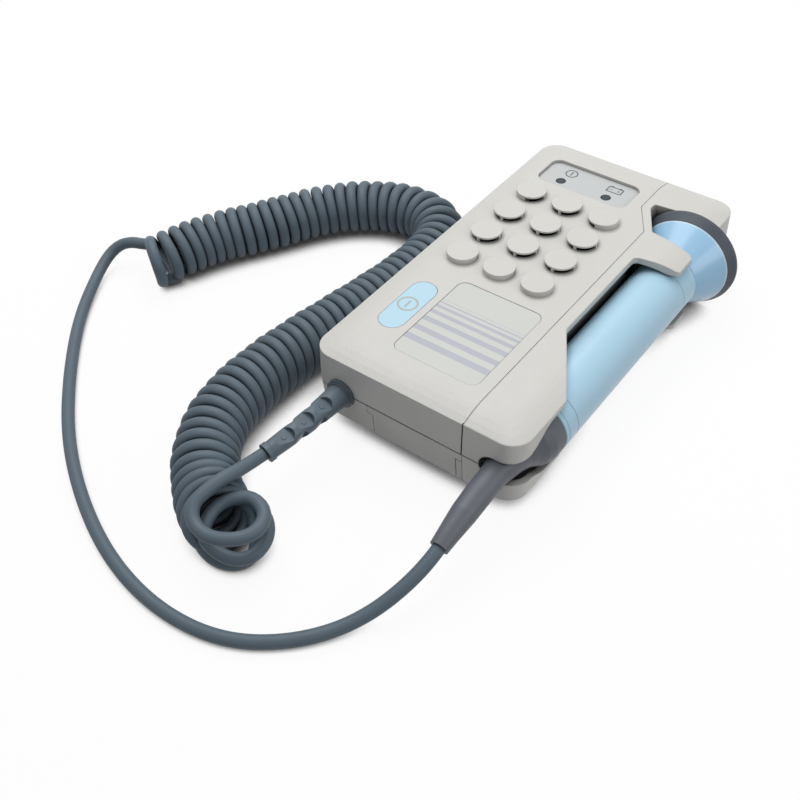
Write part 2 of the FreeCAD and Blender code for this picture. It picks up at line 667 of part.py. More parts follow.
# ---- holder ----------------------------------------------------------------
def probe_space():
    """Room for the probe, open towards +X so that it slides out sideways."""
    profile = [(-WALL, 0.0)]
    profile.append((-WALL, BOOT_PROFILE[0][1] + RUNNING_GAP))
    for y, radius in BOOT_PROFILE[:-1]:
        profile.append((y, radius + RUNNING_GAP))
    profile.append((BOOT_PROFILE[-1][0], BORE_RADIUS))
    profile.append((NECK_END, BORE_RADIUS))
    profile.append((CONE_END, CONE_RIM_RADIUS + HEAD_GAP))
    profile.append((RING_WIDEST, HEAD_RADIUS + HEAD_GAP))
    profile.append((POCKET_CORNER_FAR, HEAD_RADIUS + HEAD_GAP))
    profile.append((POCKET_CORNER_FAR, 0.0))
    outline = [Vector(AXIS_X, y, AXIS_Z + radius) for y, radius in profile[1:-1]]
    outline += [Vector(AXIS_X, y, AXIS_Z - radius) for y, radius in profile[-2:0:-1]]
    outline.append(outline[0])
    mouth = Part.Face(Part.makePolygon(outline)).extrude(Vector(HOUSING_WIDTH, 0, 0))
    return revolve_y(profile).fuse(mouth)


def boot_slot():
    """The slot for the boot reaches a little further left than the probe."""
    left = AXIS_X - SLOT_LEFT_SHIFT
    radius = BOOT_PROFILE[0][1] + RUNNING_GAP
    end = BOOT_PROFILE[2][0]
    round_end = cylinder(radius, (left, -WALL, AXIS_Z), (left, end, AXIS_Z))
    middle = box((left, -WALL, AXIS_Z - radius), (AXIS_X, end, AXIS_Z + radius))
    return round_end.fuse(middle)


def tube_window():
    """Where the tube lies open between the lobe and the finger."""
    inner = SEAM_X + STRIP_WIDTH
    run = HOUSING_WIDTH - inner
    lobe_slope = (LOBE_END - WINDOW_START) / run
    finger_slope = (FINGER_START - WINDOW_END) / run
    far = HOUSING_WIDTH + run
    points = [(inner, WINDOW_START), (far, WINDOW_START + lobe_slope * run * 2),
              (far, WINDOW_END + finger_slope * run * 2), (inner, WINDOW_END)]
    return prism(points, 0, REACH, [0, 0, 0, HOLDER_FILLET])


def head_pocket():
    near_x = HOUSING_WIDTH - POCKET_NEAR_INSET
    corner_x = HOUSING_WIDTH - POCKET_CORNER_INSET
    far = HOUSING_WIDTH * 2 - near_x
    near_far = 2 * FINGER_END - POCKET_NEAR
    end_far = POCKET_FAR + (POCKET_FAR - POCKET_CORNER_FAR) * POCKET_NEAR_INSET / POCKET_CORNER_INSET
    points = [(near_x, POCKET_NEAR), (far, near_far), (far, end_far),
              (corner_x, POCKET_CORNER_FAR), (corner_x, POCKET_CORNER_NEAR)]
    return prism(points, 0, REACH, [POCKET_FILLET, 0, 0, POCKET_FILLET, POCKET_FILLET])


def boot_hollow():
    """The near end of the holder is a shell round the boot."""
    end = BOOT_PROFILE[-2][0]
    block = box((SEAM_X + HOLDER_WALL, WALL, -REACH), (HOUSING_WIDTH, end, REACH))
    return block.common(crowned_body(WALL))


def tube_hollow():
    """Beside the tube and under the finger the holder is hollow under its lip."""
    block = box((SEAM_X + HOLDER_WALL, WINDOW_START - HOLLOW_PAST_WINDOW, AXIS_Z),
                (HOUSING_WIDTH, FINGER_START + FINGER_HOLLOW, TOP_Z))
    return block.common(crowned_body(HOLDER_LIP))


def lower_finger_tip():
    """The lower finger reaches a little past the side of the housing."""
    inner = HOUSING_WIDTH - HOUSING_CORNER
    outer = HOUSING_WIDTH + LOWER_FINGER_REACH
    plan = [(inner, FINGER_START), (outer, FINGER_START), (outer, FINGER_END), (inner, FINGER_END)]
    corners = [0, FINGER_CORNER, FINGER_CORNER, 0]
    return prism(plan, LOWER_EDGE_Z, PARTING_Z, corners).cut(probe_space())


def corner_cut(corner, first, second):
    """What a round corner leaves of the sharp one between two directions."""
    corner = Vector(corner[0], corner[1], 0)
    first = Vector(first[0], first[1], 0).normalize()
    second = Vector(second[0], second[1], 0).normalize()
    half = first.getAngle(second) / 2
    reach = FINGER_CORNER / math.tan(half)
    middle = corner + (first + second).normalize() * (FINGER_CORNER / math.sin(half))
    outside = corner + (corner - middle)
    points = [middle, corner + first * reach, outside, corner + second * reach]
    wedge = prism([(point.x, point.y) for point in points], PARTING_Z, REACH)
    return wedge.cut(cylinder(FINGER_CORNER, (middle.x, middle.y, 0), (middle.x, middle.y, REACH)))


def finger_corners():
    run = HOUSING_WIDTH - SEAM_X - STRIP_WIDTH
    lobe = corner_cut((HOUSING_WIDTH, LOBE_END), (0, -1), (-run, WINDOW_START - LOBE_END))
    near = corner_cut((HOUSING_WIDTH, FINGER_START), (0, 1), (-run, WINDOW_END - FINGER_START))
    far = corner_cut((HOUSING_WIDTH, FINGER_END), (0, -1),
                     (-POCKET_NEAR_INSET, POCKET_NEAR - FINGER_END))
    return [lobe, near, far]


def holder_body():
    body = crowned_body().cut(main_side(-SEAM_GAP / 2))
    return body.cut([probe_space(), boot_slot(), tube_window(), head_pocket(), boot_hollow()])


def make_holder_upper():
    upper = holder_body().common(above(PARTING_Z + SEAM_GAP / 2))
    return upper.cut([tube_hollow(), parting_groove()] + finger_corners()).removeSplitter()


def make_holder_lower():
    lower = holder_body().common(below(PARTING_Z - SEAM_GAP / 2))
    return lower.fuse(lower_finger_tip()).removeSplitter()


# ---- top face pieces -------------------------------------------------------
def make_label_plate():
    low = TOP_Z - LABEL_DEPTH
    x_span = inset_span(LABEL_X, INLAY_GAP)
    y_span = inset_span(LABEL_Y, INLAY_GAP)
    return rounded_slab(x_span, y_span, LABEL_CORNER - INLAY_GAP, low, low + LABEL_THICKNESS)


def make_display_panel():
    high = TOP_Z - DISPLAY_DEPTH
    x_span = inset_span(DISPLAY_X, INLAY_GAP)
    y_span = inset_span(DISPLAY_Y, INLAY_GAP)
    panel = rounded_slab(x_span, y_span, DISPLAY_CORNER - INLAY_GAP, high - DISPLAY_THICKNESS, high)
    for x in LED_X:
        panel = panel.cut(cylinder(LED_RADIUS + LED_HOLE_GAP, (x, LED_Y, 0), (x, LED_Y, TOP_Z)))
    return panel


def make_led(x):
    top = TOP_Z - DISPLAY_DEPTH - LED_SUNK
    base = top - LED_DOME_DEPTH
    profile = [(0, BOARD_TOP_Z), (LED_RADIUS + LED_FLANGE, BOARD_TOP_Z)]
    profile += [(LED_RADIUS + LED_FLANGE, base), (LED_RADIUS, base)]
    profile += [(LED_RADIUS, top - LED_EDGE_DROP), (LED_RADIUS * 0.85, top - LED_EDGE_DROP / 4)]
    profile += [(LED_RADIUS * 0.5, top), (0, top)]
    return revolve_z(profile, x, LED_Y)


def make_power_button():
    flange_top = CEILING_Z
    flange_low = flange_top - BUTTON_FLANGE_THICKNESS
    face = button_outline(0.0, flange_low, TOP_Z)
    flange = button_outline(BUTTON_FLANGE, flange_low, flange_top)
    stem_end = switch_top() + BUTTON_TRAVEL + BUTTON_REST_GAP
    stem = cylinder(STEM_RADIUS, (BUTTON_X, BUTTON_Y, stem_end), (BUTTON_X, BUTTON_Y, TOP_Z - WALL))
    return face.fuse([flange, stem]).removeSplitter()


def switch_top():
    return BOARD_TOP_Z + SWITCH_HEIGHT + PLUNGER_HEIGHT


def make_button_switch():
    half = SWITCH_SIZE / 2
    body = box((BUTTON_X - half, BUTTON_Y - half, BOARD_TOP_Z),
               (BUTTON_X + half, BUTTON_Y + half, BOARD_TOP_Z + SWITCH_HEIGHT))
    low = (BUTTON_X, BUTTON_Y, BOARD_TOP_Z + SWITCH_HEIGHT)
    return body.fuse(cylinder(PLUNGER_RADIUS, low, (BUTTON_X, BUTTON_Y, switch_top())))


# ---- loudspeaker -----------------------------------------------------------
def flange_bottom():
    return CEILING_Z - GASKET_THICKNESS - FLANGE_THICKNESS


def make_speaker_gasket():
    low = CEILING_Z - GASKET_THICKNESS
    inner = SPEAKER_RADIUS - SPEAKER_FLANGE
    profile = [(inner, low), (SPEAKER_RADIUS, low), (SPEAKER_RADIUS, CEILING_Z), (inner, CEILING_Z)]
    return revolve_z(profile, GRILLE_X, GRILLE_Y)


def make_speaker_frame():
    top = CEILING_Z - GASKET_THICKNESS
    rim = flange_bottom()
    base = rim - BASKET_DEPTH
    inner = SPEAKER_RADIUS - SPEAKER_FLANGE
    profile = [(inner, top), (SPEAKER_RADIUS, top), (SPEAKER_RADIUS, rim)]
    profile += [(inner + FLANGE_THICKNESS / 2, rim), (MAGNET_RADIUS, base), (0, base)]
    profile += [(0, base + FLANGE_THICKNESS), (MAGNET_RADIUS - FLANGE_THICKNESS, base + FLANGE_THICKNESS)]
    profile += [(inner - CONE_LEDGE, cone_seat()), (inner, cone_seat())]
    return revolve_z(profile, GRILLE_X, GRILLE_Y)


def cone_seat():
    return flange_bottom() + FLANGE_THICKNESS / 2


def make_speaker_cone():
    inner = SPEAKER_RADIUS - SPEAKER_FLANGE
    seat = cone_seat()
    low = seat - CONE_DEPTH
    edge = inner - CONE_EDGE_GAP
    profile = [(edge, seat), (edge, seat + CONE_SHEET), (inner - CONE_ROLL, seat + CONE_SHEET)]
    profile += [(DUST_CAP_RADIUS, low + CONE_SHEET), (0, low + DUST_CAP_RISE), (0, low)]
    profile += [(DUST_CAP_RADIUS, low), (inner - CONE_LEDGE, seat)]
    return revolve_z(profile, GRILLE_X, GRILLE_Y)


def make_speaker_magnet():
    top = flange_bottom() - BASKET_DEPTH
    return cylinder(MAGNET_RADIUS, (GRILLE_X, GRILLE_Y, top - MAGNET_DEPTH), (GRILLE_X, GRILLE_Y, top))


# ---- board, battery and door -----------------------------------------------
def make_circuit_board():
    left = WALL + BOARD_MARGIN
    right = SEAM_X - WALL - BOARD_MARGIN
    far_right = SEAM_FAR_X - WALL - BOARD_MARGIN
    end = HOUSING_LENGTH - WALL - BOARD_MARGIN
    corner = HOUSING_CORNER - WALL
    points = [(left, BOARD_STRIP_START), (BOARD_STRIP_RIGHT, BOARD_STRIP_START),
              (BOARD_STRIP_RIGHT, BOARD_BACK_START), (right, BOARD_BACK_START),
              (right, SEAM_CHAMFER_START - BOARD_MARGIN),
              (far_right, SEAM_CHAMFER_END - BOARD_MARGIN), (far_right, end),
              (left + corner, end), (left, end - corner)]
    board = prism(points, BOARD_Z, BOARD_TOP_Z)
    for x, y in SCREW_PLACES:
        board = board.cut(cylinder(POST_RADIUS + RUNNING_GAP, (x, y, 0), (x, y, REACH)))
    return board


def screw(x, y, head_low, tip):
    head = cylinder(SCREW_HEAD_RADIUS, (x, y, head_low), (x, y, head_low + SCREW_HEAD_HEIGHT))
    shank = cylinder(SCREW_RADIUS, (x, y, head_low + SCREW_HEAD_HEIGHT), (x, y, tip))
    return head.fuse(shank)


def make_case_screws():
    head_low = BACK_Z + SCREW_HEAD_SUNK
    tip = POST_Z + SCREW_BITE - SCREW_GAP
    return Part.makeCompound([screw(x, y, head_low, tip) for x, y in SCREW_PLACES])


def make_battery():
    low = FLOOR_Z + BATTERY_GAP
    return box((BATTERY_LEFT, BATTERY_START, low),
               (BATTERY_LEFT + BATTERY[0], BATTERY_START + BATTERY[1], low + BATTERY[2]))


def make_battery_contacts():
    left = BATTERY_LEFT + CONTACT_INSET
    right = left + BATTERY[0] - CONTACT_INSET * 2
    low = FLOOR_Z + BATTERY_GAP + CONTACT_INSET
    high = low + BATTERY[2] - CONTACT_INSET * 2
    return box((left, BATTERY_START + BATTERY[1], low), (right, CONTACT_END, high))


def make_battery_door():
    skin = door_skin(0.0).common(main_side(SEAM_GAP / 2)).cut(battery_space())
    panel_right = SEAM_X - WALL
    pad_x = (panel_right + DOOR_LEFT + DOOR_STEP - DOOR_PAD[0]) / 2
    pad_y = (DOOR_PAD_START, DOOR_PAD_START + DOOR_PAD[1])
    pad = rounded_slab((pad_x, pad_x + DOOR_PAD[0]), pad_y, DOOR_PAD_CORNER, 0, BACK_Z + WALL / 2)
    pad = pad.makeChamfer(HOLDER_FILLET / 2, [edge for edge in pad.Edges if edge.BoundBox.ZMax < 0.01])
    latch_x = SEAM_X - LATCH_FROM_SEAM
    latch = box((latch_x, -WALL, BACK_Z - WALL), (latch_x + LATCH_LINE, LATCH_LINE + LOWER_TAPER,
                PARTING_Z - DOOR_STEP_BELOW_PARTING))
    latch_z = PARTING_Z - DOOR_STEP_BELOW_PARTING
    latch_top = box((latch_x, -WALL, latch_z - LATCH_LINE), (SEAM_X, LATCH_LINE + LOWER_TAPER, latch_z))
    return skin.fuse(pad).cut([latch, latch_top]).removeSplitter()


# ---- wheel, sockets and clip -----------------------------------------------
def make_volume_wheel():
    low = (WHEEL_X, WHEEL_Y, WHEEL_Z)
    high = (WHEEL_X, WHEEL_Y, WHEEL_Z + WHEEL_THICKNESS)
    wheel = cylinder(WHEEL_RADIUS, low, high).cut(cylinder(SHAFT_RADIUS + SHAFT_GAP, low, high))
    notches = []
    for index in range(WHEEL_NOTCHES):
        angle = 2 * math.pi * index / WHEEL_NOTCHES
        x = WHEEL_X + WHEEL_RADIUS * math.cos(angle)
        y = WHEEL_Y + WHEEL_RADIUS * math.sin(angle)
        notches.append(cylinder(WHEEL_NOTCH_RADIUS, (x, y, low[2]), (x, y, high[2])))
    return wheel.cut(notches)


def make_volume_pot():
    half = POT_SIZE / 2
    shoulder = WHEEL_Z - SHAFT_GAP
    body = box((WHEEL_X - half + BOARD_MARGIN, WHEEL_Y - half, BOARD_TOP_Z),
               (WHEEL_X + half + BOARD_MARGIN, WHEEL_Y + half, shoulder - BOARD_MARGIN))
    ring = cylinder(POT_SHOULDER, (WHEEL_X, WHEEL_Y, BOARD_TOP_Z), (WHEEL_X, WHEEL_Y, shoulder))
    shaft = cylinder(SHAFT_RADIUS, (WHEEL_X, WHEEL_Y, BOARD_TOP_Z),
                     (WHEEL_X, WHEEL_Y, WHEEL_Z + WHEEL_THICKNESS))
    return body.fuse([ring, shaft]).removeSplitter()


def make_headphone_socket():
    half = JACK_WIDTH / 2
    left = WALL + LOWER_TAPER / 2
    right = UPPER_TAPER + JACK_BORE_LENGTH + JACK_BACK
    body = box((left, JACK_Y - half, BOARD_TOP_Z), (right, JACK_Y + half, JACK_Z + half))
    mouth = (UPPER_TAPER, JACK_Y, JACK_Z)
    sleeve = cylinder(JACK_SLEEVE_RADIUS, mouth, (left, JACK_Y, JACK_Z))
    bore = cylinder(JACK_BORE_RADIUS, mouth, (UPPER_TAPER + JACK_BORE_LENGTH, JACK_Y, JACK_Z))
    return body.fuse(sleeve).cut(bore).removeSplitter()


def clip_screw_x():
    return (CLIP_X - CLIP_SCREW_SPACING / 2, CLIP_X + CLIP_SCREW_SPACING / 2)


def clip_screw_y():
    return CLIP_END - CLIP_ROOT / 2


def clip_screw_bores():
    made = []
    for x in clip_screw_x():
        low = (x, clip_screw_y(), 0)
        made.append(cylinder(SCREW_RADIUS + SCREW_GAP, low, (x, clip_screw_y(), CLIP_SCREW_REACH)))
    return made


def make_pocket_clip():
    x_span = (CLIP_X - CLIP_WIDTH / 2, CLIP_X + CLIP_WIDTH / 2)
    y_span = (CLIP_START, CLIP_END)
    arm = rounded_slab(x_span, y_span, CLIP_CORNER, 0, CLIP_THICKNESS)
    outline = rounded_slab(x_span, y_span, CLIP_CORNER, 0, BACK_Z)
    root = outline.common(box((x_span[0], CLIP_END - CLIP_ROOT, 0), (x_span[1], CLIP_END, BACK_Z)))
    lip = outline.common(box((x_span[0], CLIP_START, 0),
                             (x_span[1], CLIP_START + CLIP_LIP, BACK_Z - CLIP_LIP_GAP)))
    clip = arm.fuse([root, lip]).cut(clip_screw_bores())
    for x in clip_screw_x():
        head = cylinder(SCREW_HEAD_RADIUS + SCREW_GAP, (x, clip_screw_y(), 0),
                        (x, clip_screw_y(), CLIP_LIP_GAP + SCREW_HEAD_HEIGHT))
        clip = clip.cut(head)
    return clip.removeSplitter()


def make_clip_screws():
    tip = CLIP_SCREW_REACH - SCREW_GAP
    return Part.makeCompound([screw(x, clip_screw_y(), CLIP_LIP_GAP, tip) for x in clip_screw_x()])


# ---- probe -----------------------------------------------------------------
def probe_ring(start, end, inner=TUBE_RADIUS - PROBE_WALL):
    """A straight ring of the probe with a fine chamfer at both ends."""
    outer = TUBE_RADIUS
    profile = [(start, inner), (start, outer - JOINT_CHAMFER), (start + JOINT_CHAMFER, outer)]
    profile += [(end - JOINT_CHAMFER, outer), (end, outer - JOINT_CHAMFER), (end, inner)]
    return revolve_y(profile)


def make_probe_tail():
    half = JOINT_CHAMFER * 2
    groove = [(TAIL_GROOVE - half, TUBE_RADIUS + JOINT_CHAMFER),
              (TAIL_GROOVE, TUBE_RADIUS - JOINT_CHAMFER),
              (TAIL_GROOVE + half, TUBE_RADIUS + JOINT_CHAMFER)]
    return probe_ring(TAIL_START, TAIL_END).cut(revolve_y(groove))


def make_probe_tube():
    return probe_ring(TAIL_END, TUBE_END)


def make_probe_neck():
    return probe_ring(TUBE_END, NECK_END)


def make_probe_cone():
    inner = TUBE_RADIUS - PROBE_WALL
    rim_inner = CONE_RIM_RADIUS - PROBE_WALL
    profile = [(NECK_END, inner), (NECK_END, TUBE_RADIUS - JOINT_CHAMFER)]
    profile += [(NECK_END + JOINT_CHAMFER, TUBE_RADIUS), (CONE_END, CONE_RIM_RADIUS)]
    profile += [(CONE_END, rim_inner), (NECK_END + PROBE_WALL, inner)]
    return revolve_y(profile)


def make_probe_head_ring():
    inner = CONE_RIM_RADIUS - PROBE_WALL
    mid = (RING_WIDEST + RING_END) / 2
    profile = [(CONE_END, inner), (CONE_END, CONE_RIM_RADIUS), (RING_WIDEST, HEAD_RADIUS)]
    profile += [(mid, HEAD_RADIUS), (RING_END, FACE_RADIUS), (RING_END, inner)]
    return revolve_y(profile)


def make_probe_face():
    inner = CONE_RIM_RADIUS - PROBE_WALL
    shoulder = (CONE_END + RING_WIDEST) / 2
    profile = [(shoulder, 0), (shoulder, inner - SCREW_GAP), (RING_END, inner - SCREW_GAP)]
    profile += [(FACE_END, inner - SCREW_GAP - FACE_CHAMFER), (FACE_END, 0)]
    return revolve_y(profile)


def crystal_plane():
    return (CONE_END + RING_WIDEST) / 2


def make_crystals():
    start = crystal_plane() - CRYSTAL_THICKNESS
    disc = cylinder(CRYSTAL_RADIUS, (AXIS_X, start, AXIS_Z), (AXIS_X, crystal_plane(), AXIS_Z))
    half = CRYSTAL_SPLIT / 2
    return disc.cut(box((AXIS_X - half, 0, 0), (AXIS_X + half, REACH, REACH)))


def make_crystal_backing():
    end = crystal_plane() - CRYSTAL_THICKNESS
    inner = TUBE_RADIUS - PROBE_WALL - RUNNING_GAP
    start = NECK_END
    profile = [(start, 0), (start, inner), (NECK_END + PROBE_WALL, inner)]
    profile += [(end, CRYSTAL_RADIUS), (end, 0)]
    return revolve_y(profile)


def make_probe_board():
    half = PROBE_BOARD_WIDTH / 2
    low = AXIS_Z - PROBE_BOARD_THICKNESS / 2
    return box((AXIS_X - half, PROBE_BOARD_START, low),
               (AXIS_X + half, PROBE_BOARD_END, low + PROBE_BOARD_THICKNESS))


def make_board_carriers():
    """Two foam discs hold the probe's board inside the tube."""
    inner = TUBE_RADIUS - PROBE_WALL
    discs = []
    for y in (PROBE_BOARD_START + CARRIER_LENGTH, PROBE_BOARD_END - 2 * CARRIER_LENGTH):
        disc = cylinder(inner, (AXIS_X, y, AXIS_Z), (AXIS_X, y + CARRIER_LENGTH, AXIS_Z))
        discs.append(disc.cut(make_probe_board()))
    return Part.makeCompound(discs)


def bent_body(stations, base_x, base_z):
    """Loft through circles whose centres droop along -Y."""
    centres = [Vector(base_x + dx, y, base_z - drop) for y, radius, dx, drop in stations]
    wires = []
    for index, (y, radius, dx, drop) in enumerate(stations):
        before = centres[max(index - 1, 0)]
        after = centres[min(index + 1, len(centres) - 1)]
        direction = (after - before).normalize()
        if index == 0:
            direction = Vector(0, -1, 0)
        circle = Part.Circle(centres[index], direction, radius)
        wires.append(Part.Wire([circle.toShape()]))
    return Part.makeLoft(wires, True, True), centres


def make_probe_boot():
    profile = [(BOOT_PROFILE[0][0], 0.0)]
    profile += [(y, radius) for y, radius in BOOT_PROFILE]
    profile += [(TAIL_START - JOINT_CHAMFER, TUBE_RADIUS), (TAIL_START, TUBE_RADIUS - JOINT_CHAMFER)]
    profile.append((TAIL_START, 0.0))
    flare = revolve_y(profile)
    first = (BOOT_PROFILE[0][0], BOOT_PROFILE[0][1], 0.0, 0.0)
    tail, centres = bent_body((first,) + BOOT_SHAPE, AXIS_X, AXIS_Z)
    return flare.fuse(tail).removeSplitter()


# ---- strain relief and cord -------------------------------------------------
def relief_axis():
    return [Vector(RELIEF_X + dx, y, RELIEF_Z - drop) for y, radius, dx, drop in RELIEF_SHAPE]


def axis_at(points, y):
    for a, b in zip(points, points[1:]):
        if b.y <= y <= a.y:
            share = (a.y - y) / (a.y - b.y)
            return a + (b - a) * share
    return points[-1]


def relief_radius_at(y):
    for a, b in zip(RELIEF_SHAPE, RELIEF_SHAPE[1:]):
        if b[0] <= y <= a[0]:
            return a[1] + (b[1] - a[1]) * (a[0] - y) / (a[0] - b[0])
    return RELIEF_SHAPE[-1][1]


def outward(degrees):
    """Across the sleeve: 0 is up and 90 is to the right, with the sleeve's turn on top."""
    angle = math.radians(degrees + RELIEF_TURN)
    return Vector(math.sin(angle), 0, math.cos(angle))


def scallop_floor(y, degrees, length, depth):
    """Start, end and upright of a flat floor that runs out towards the tip."""
    across = outward(degrees)
    last = y - length
    start = axis_at(relief_axis(), y) + across * (relief_radius_at(y) - depth)
    end = axis_at(relief_axis(), last) + across * (relief_radius_at(last) - SCALLOP_RUN_OUT)
    along = (end - start).normalize()
    upright = (across - along * across.dot(along)).normalize()
    return start, end, along, upright


def scallop(y, degrees, radius, length, depth):
    """A recess with an upright round wall towards the housing."""
    start, end, along, upright = scallop_floor(y, degrees, length, depth)
    middle = start + along * radius
    aside = along.cross(upright) * radius
    corners = [middle - aside, middle + aside, end + aside, end - aside, middle - aside]
    run = Part.Face(Part.makePolygon(corners)).extrude(upright * RELIEF_FLANGE_RADIUS)
    wall = Part.makeCylinder(radius, RELIEF_FLANGE_RADIUS, middle, upright)
    return wall.fuse(run)


def scallops():
    made = []
    for y in SCALLOP_STARTS:
        for degrees in (0, 180):
            made.append(scallop(y, degrees, SCALLOP_RADIUS, SCALLOP_LENGTH, SCALLOP_DEPTH))
    for y in SIDE_SCALLOP_STARTS:
        for degrees in (90, 270):
            made.append(scallop(y, degrees, SIDE_SCALLOP_RADIUS, SIDE_SCALLOP_LENGTH,
                                SIDE_SCALLOP_DEPTH))
    return made


def scallop_dimples():
    """A small round mark on the floor of each upper scallop."""
    made = []
    for y in SCALLOP_STARTS:
        start, end, along, upright = scallop_floor(y, 0, SCALLOP_LENGTH, SCALLOP_DEPTH)
        top = start + along * DIMPLE_FROM_WALL + upright * DIMPLE_RISE
        made.append(Part.makeCylinder(DIMPLE_RADIUS, DIMPLE_RISE * 2, top, upright * -1))
    return made


def relief_end():
    return Vector(RELIEF_X, 0, RELIEF_Z) + Vector(*RELIEF_END)


def make_unit_strain_relief():
    sleeve, centres = bent_body(RELIEF_SHAPE, RELIEF_X, RELIEF_Z)
    sleeve = sleeve.cut(scallops()).fuse(scallop_dimples())
    ring = cylinder(RELIEF_FLANGE_RADIUS - RELIEF_STEP,
                    (RELIEF_X, -RELIEF_FLANGE_THICKNESS - RELIEF_STEP, RELIEF_Z),
                    (RELIEF_X, 0, RELIEF_Z))
    outer = cylinder(RELIEF_FLANGE_RADIUS, (RELIEF_X, -RELIEF_FLANGE_THICKNESS, RELIEF_Z),
                     (RELIEF_X, 0, RELIEF_Z))
    inner_start = WALL + LOWER_TAPER
    neck = cylinder(RELIEF_NECK_RADIUS, (RELIEF_X, 0, RELIEF_Z), (RELIEF_X, inner_start, RELIEF_Z))
    inner = cylinder(RELIEF_INNER_RADIUS, (RELIEF_X, inner_start, RELIEF_Z),
                     (RELIEF_X, inner_start + RELIEF_FLANGE_THICKNESS, RELIEF_Z))
    last_y, last_radius, last_dx, last_drop = RELIEF_SHAPE[-1]
    collar_end = relief_end()
    run = collar_end - centres[-1]
    collar = Part.makeCylinder(last_radius + RELIEF_COLLAR_RISE, run.Length, centres[-1], run)
    return sleeve.fuse([outer, ring, neck, inner, collar]).removeSplitter()


def tube_along(points, radius):
    """Straight runs joined by tangent arcs, swept with a round section."""
    edges = []
    last = points[0]
    for before, corner, after in zip(points, points[1:], points[2:]):
        inward = (before - corner).normalize()
        outward = (after - corner).normalize()
        cut = BEND_SHARE * min((before - corner).Length, (after - corner).Length)
        entry = corner + inward * cut
        leave = corner + outward * cut
        half = inward.getAngle(outward) / 2
        bend = cut * math.tan(half)
        middle = corner + (inward + outward).normalize() * (bend / math.sin(half) - bend)
        edges.append(Part.LineSegment(last, entry).toShape())
        edges.append(Part.Arc(entry, middle, leave).toShape())
        print("cord radius %.2f at %s: bend %.1f" % (radius, tuple(round(v) for v in corner), bend))
        last = leave
    edges.append(Part.LineSegment(last, points[-1]).toShape())
    spine = Part.Wire(edges)
    direction = points[1] - points[0]
    section = Part.Wire([Part.Circle(points[0], direction, radius).toShape()])
    tube = spine.makePipeShell([section], True, False)
    full = spine.Length * math.pi * radius ** 2
    print("tube of radius %.2f: length %.1f, volume ratio %.4f" % (radius, spine.Length, tube.Volume / full))
    return tube


def coil_points():
    return [Vector(x, y, COIL_RADIUS) for x, y in COIL]


def ahead(before, end, reach):
    """A point that carries on from end, so that two tubes meet face to face."""
    return end + (end - before).normalize() * reach


def make_cord_unit_end():
    before = relief_axis()[-1]
    coil = coil_points()
    points = [relief_end(), ahead(before, relief_end(), UNIT_LEAD_EXIT)]
    points += [Vector(*point) for point in UNIT_LEAD]
    points += [ahead(coil[-2], coil[-1], COIL_EXIT[1]), coil[-1]]
    return tube_along(points, CORD_RADIUS)


def make_curly_coil():
    return tube_along(coil_points(), COIL_RADIUS)


def make_cord_probe_end():
    ends = [Vector(AXIS_X + dx, y, AXIS_Z - drop) for y, radius, dx, drop in BOOT_SHAPE[-2:]]
    coil = coil_points()
    points = [ends[1], ahead(ends[0], ends[1], PROBE_LEAD_EXIT)]
    points += [Vector(*point) for point in PROBE_LEAD]
    points += [ahead(coil[1], coil[0], COIL_EXIT[0]), coil[0]]
    return tube_along(points, CORD_RADIUS)


# ---- all nodes -------------------------------------------------------------
def make_nodes():
    return {
        "upper_shell": make_upper_shell(),
        "lower_shell": make_lower_shell(),
        "holder_upper": make_holder_upper(),
        "holder_lower": make_holder_lower(),
        "label_plate": make_label_plate(),
        "display_panel": make_display_panel(),
        "led_power": make_led(LED_X[0]),
        "led_battery": make_led(LED_X[1]),
        "power_button": make_power_button(),
        "button_switch": make_button_switch(),
        "loudspeaker_gasket": make_speaker_gasket(),
        "loudspeaker_frame": make_speaker_frame(),
        "loudspeaker_cone": make_speaker_cone(),
        "loudspeaker_magnet": make_speaker_magnet(),
        "circuit_board": make_circuit_board(),
        "case_screws": make_case_screws(),
        "battery": make_battery(),
        "battery_contacts": make_battery_contacts(),
        "battery_door": make_battery_door(),
        "volume_wheel": make_volume_wheel(),
        "volume_pot": make_volume_pot(),
        "headphone_socket": make_headphone_socket(),
        "pocket_clip": make_pocket_clip(),
        "clip_screws": make_clip_screws(),
        "probe_tail": make_probe_tail(),
        "probe_tube": make_probe_tube(),
        "probe_neck": make_probe_neck(),
        "probe_cone": make_probe_cone(),
        "probe_head_ring": make_probe_head_ring(),
        "probe_face": make_probe_face(),
        "probe_crystals": make_crystals(),
        "crystal_backing": make_crystal_backing(),
        "probe_board": make_probe_board(),
        "probe_board_carriers": make_board_carriers(),
        "probe_boot": make_probe_boot(),
        "unit_strain_relief": make_unit_strain_relief(),
        "cord_unit_end": make_cord_unit_end(),
        "curly_coil": make_curly_coil(),
        "cord_probe_end": make_cord_probe_end(),
    }


def main():
    os.makedirs("parts", exist_ok=True)
    for name, shape in make_nodes().items():
        shape.translate(ORIGIN)
        shape.exportStep("parts/%s.step" % name)


main()
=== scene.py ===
"""Fetal doppler monitor: the looks of a pocket unit, its docked probe and its curly cord."""
import math

import bmesh
import bpy
from bpy.props import FloatProperty, FloatVectorProperty, IntProperty, PointerProperty
from mathutils import Matrix, Vector


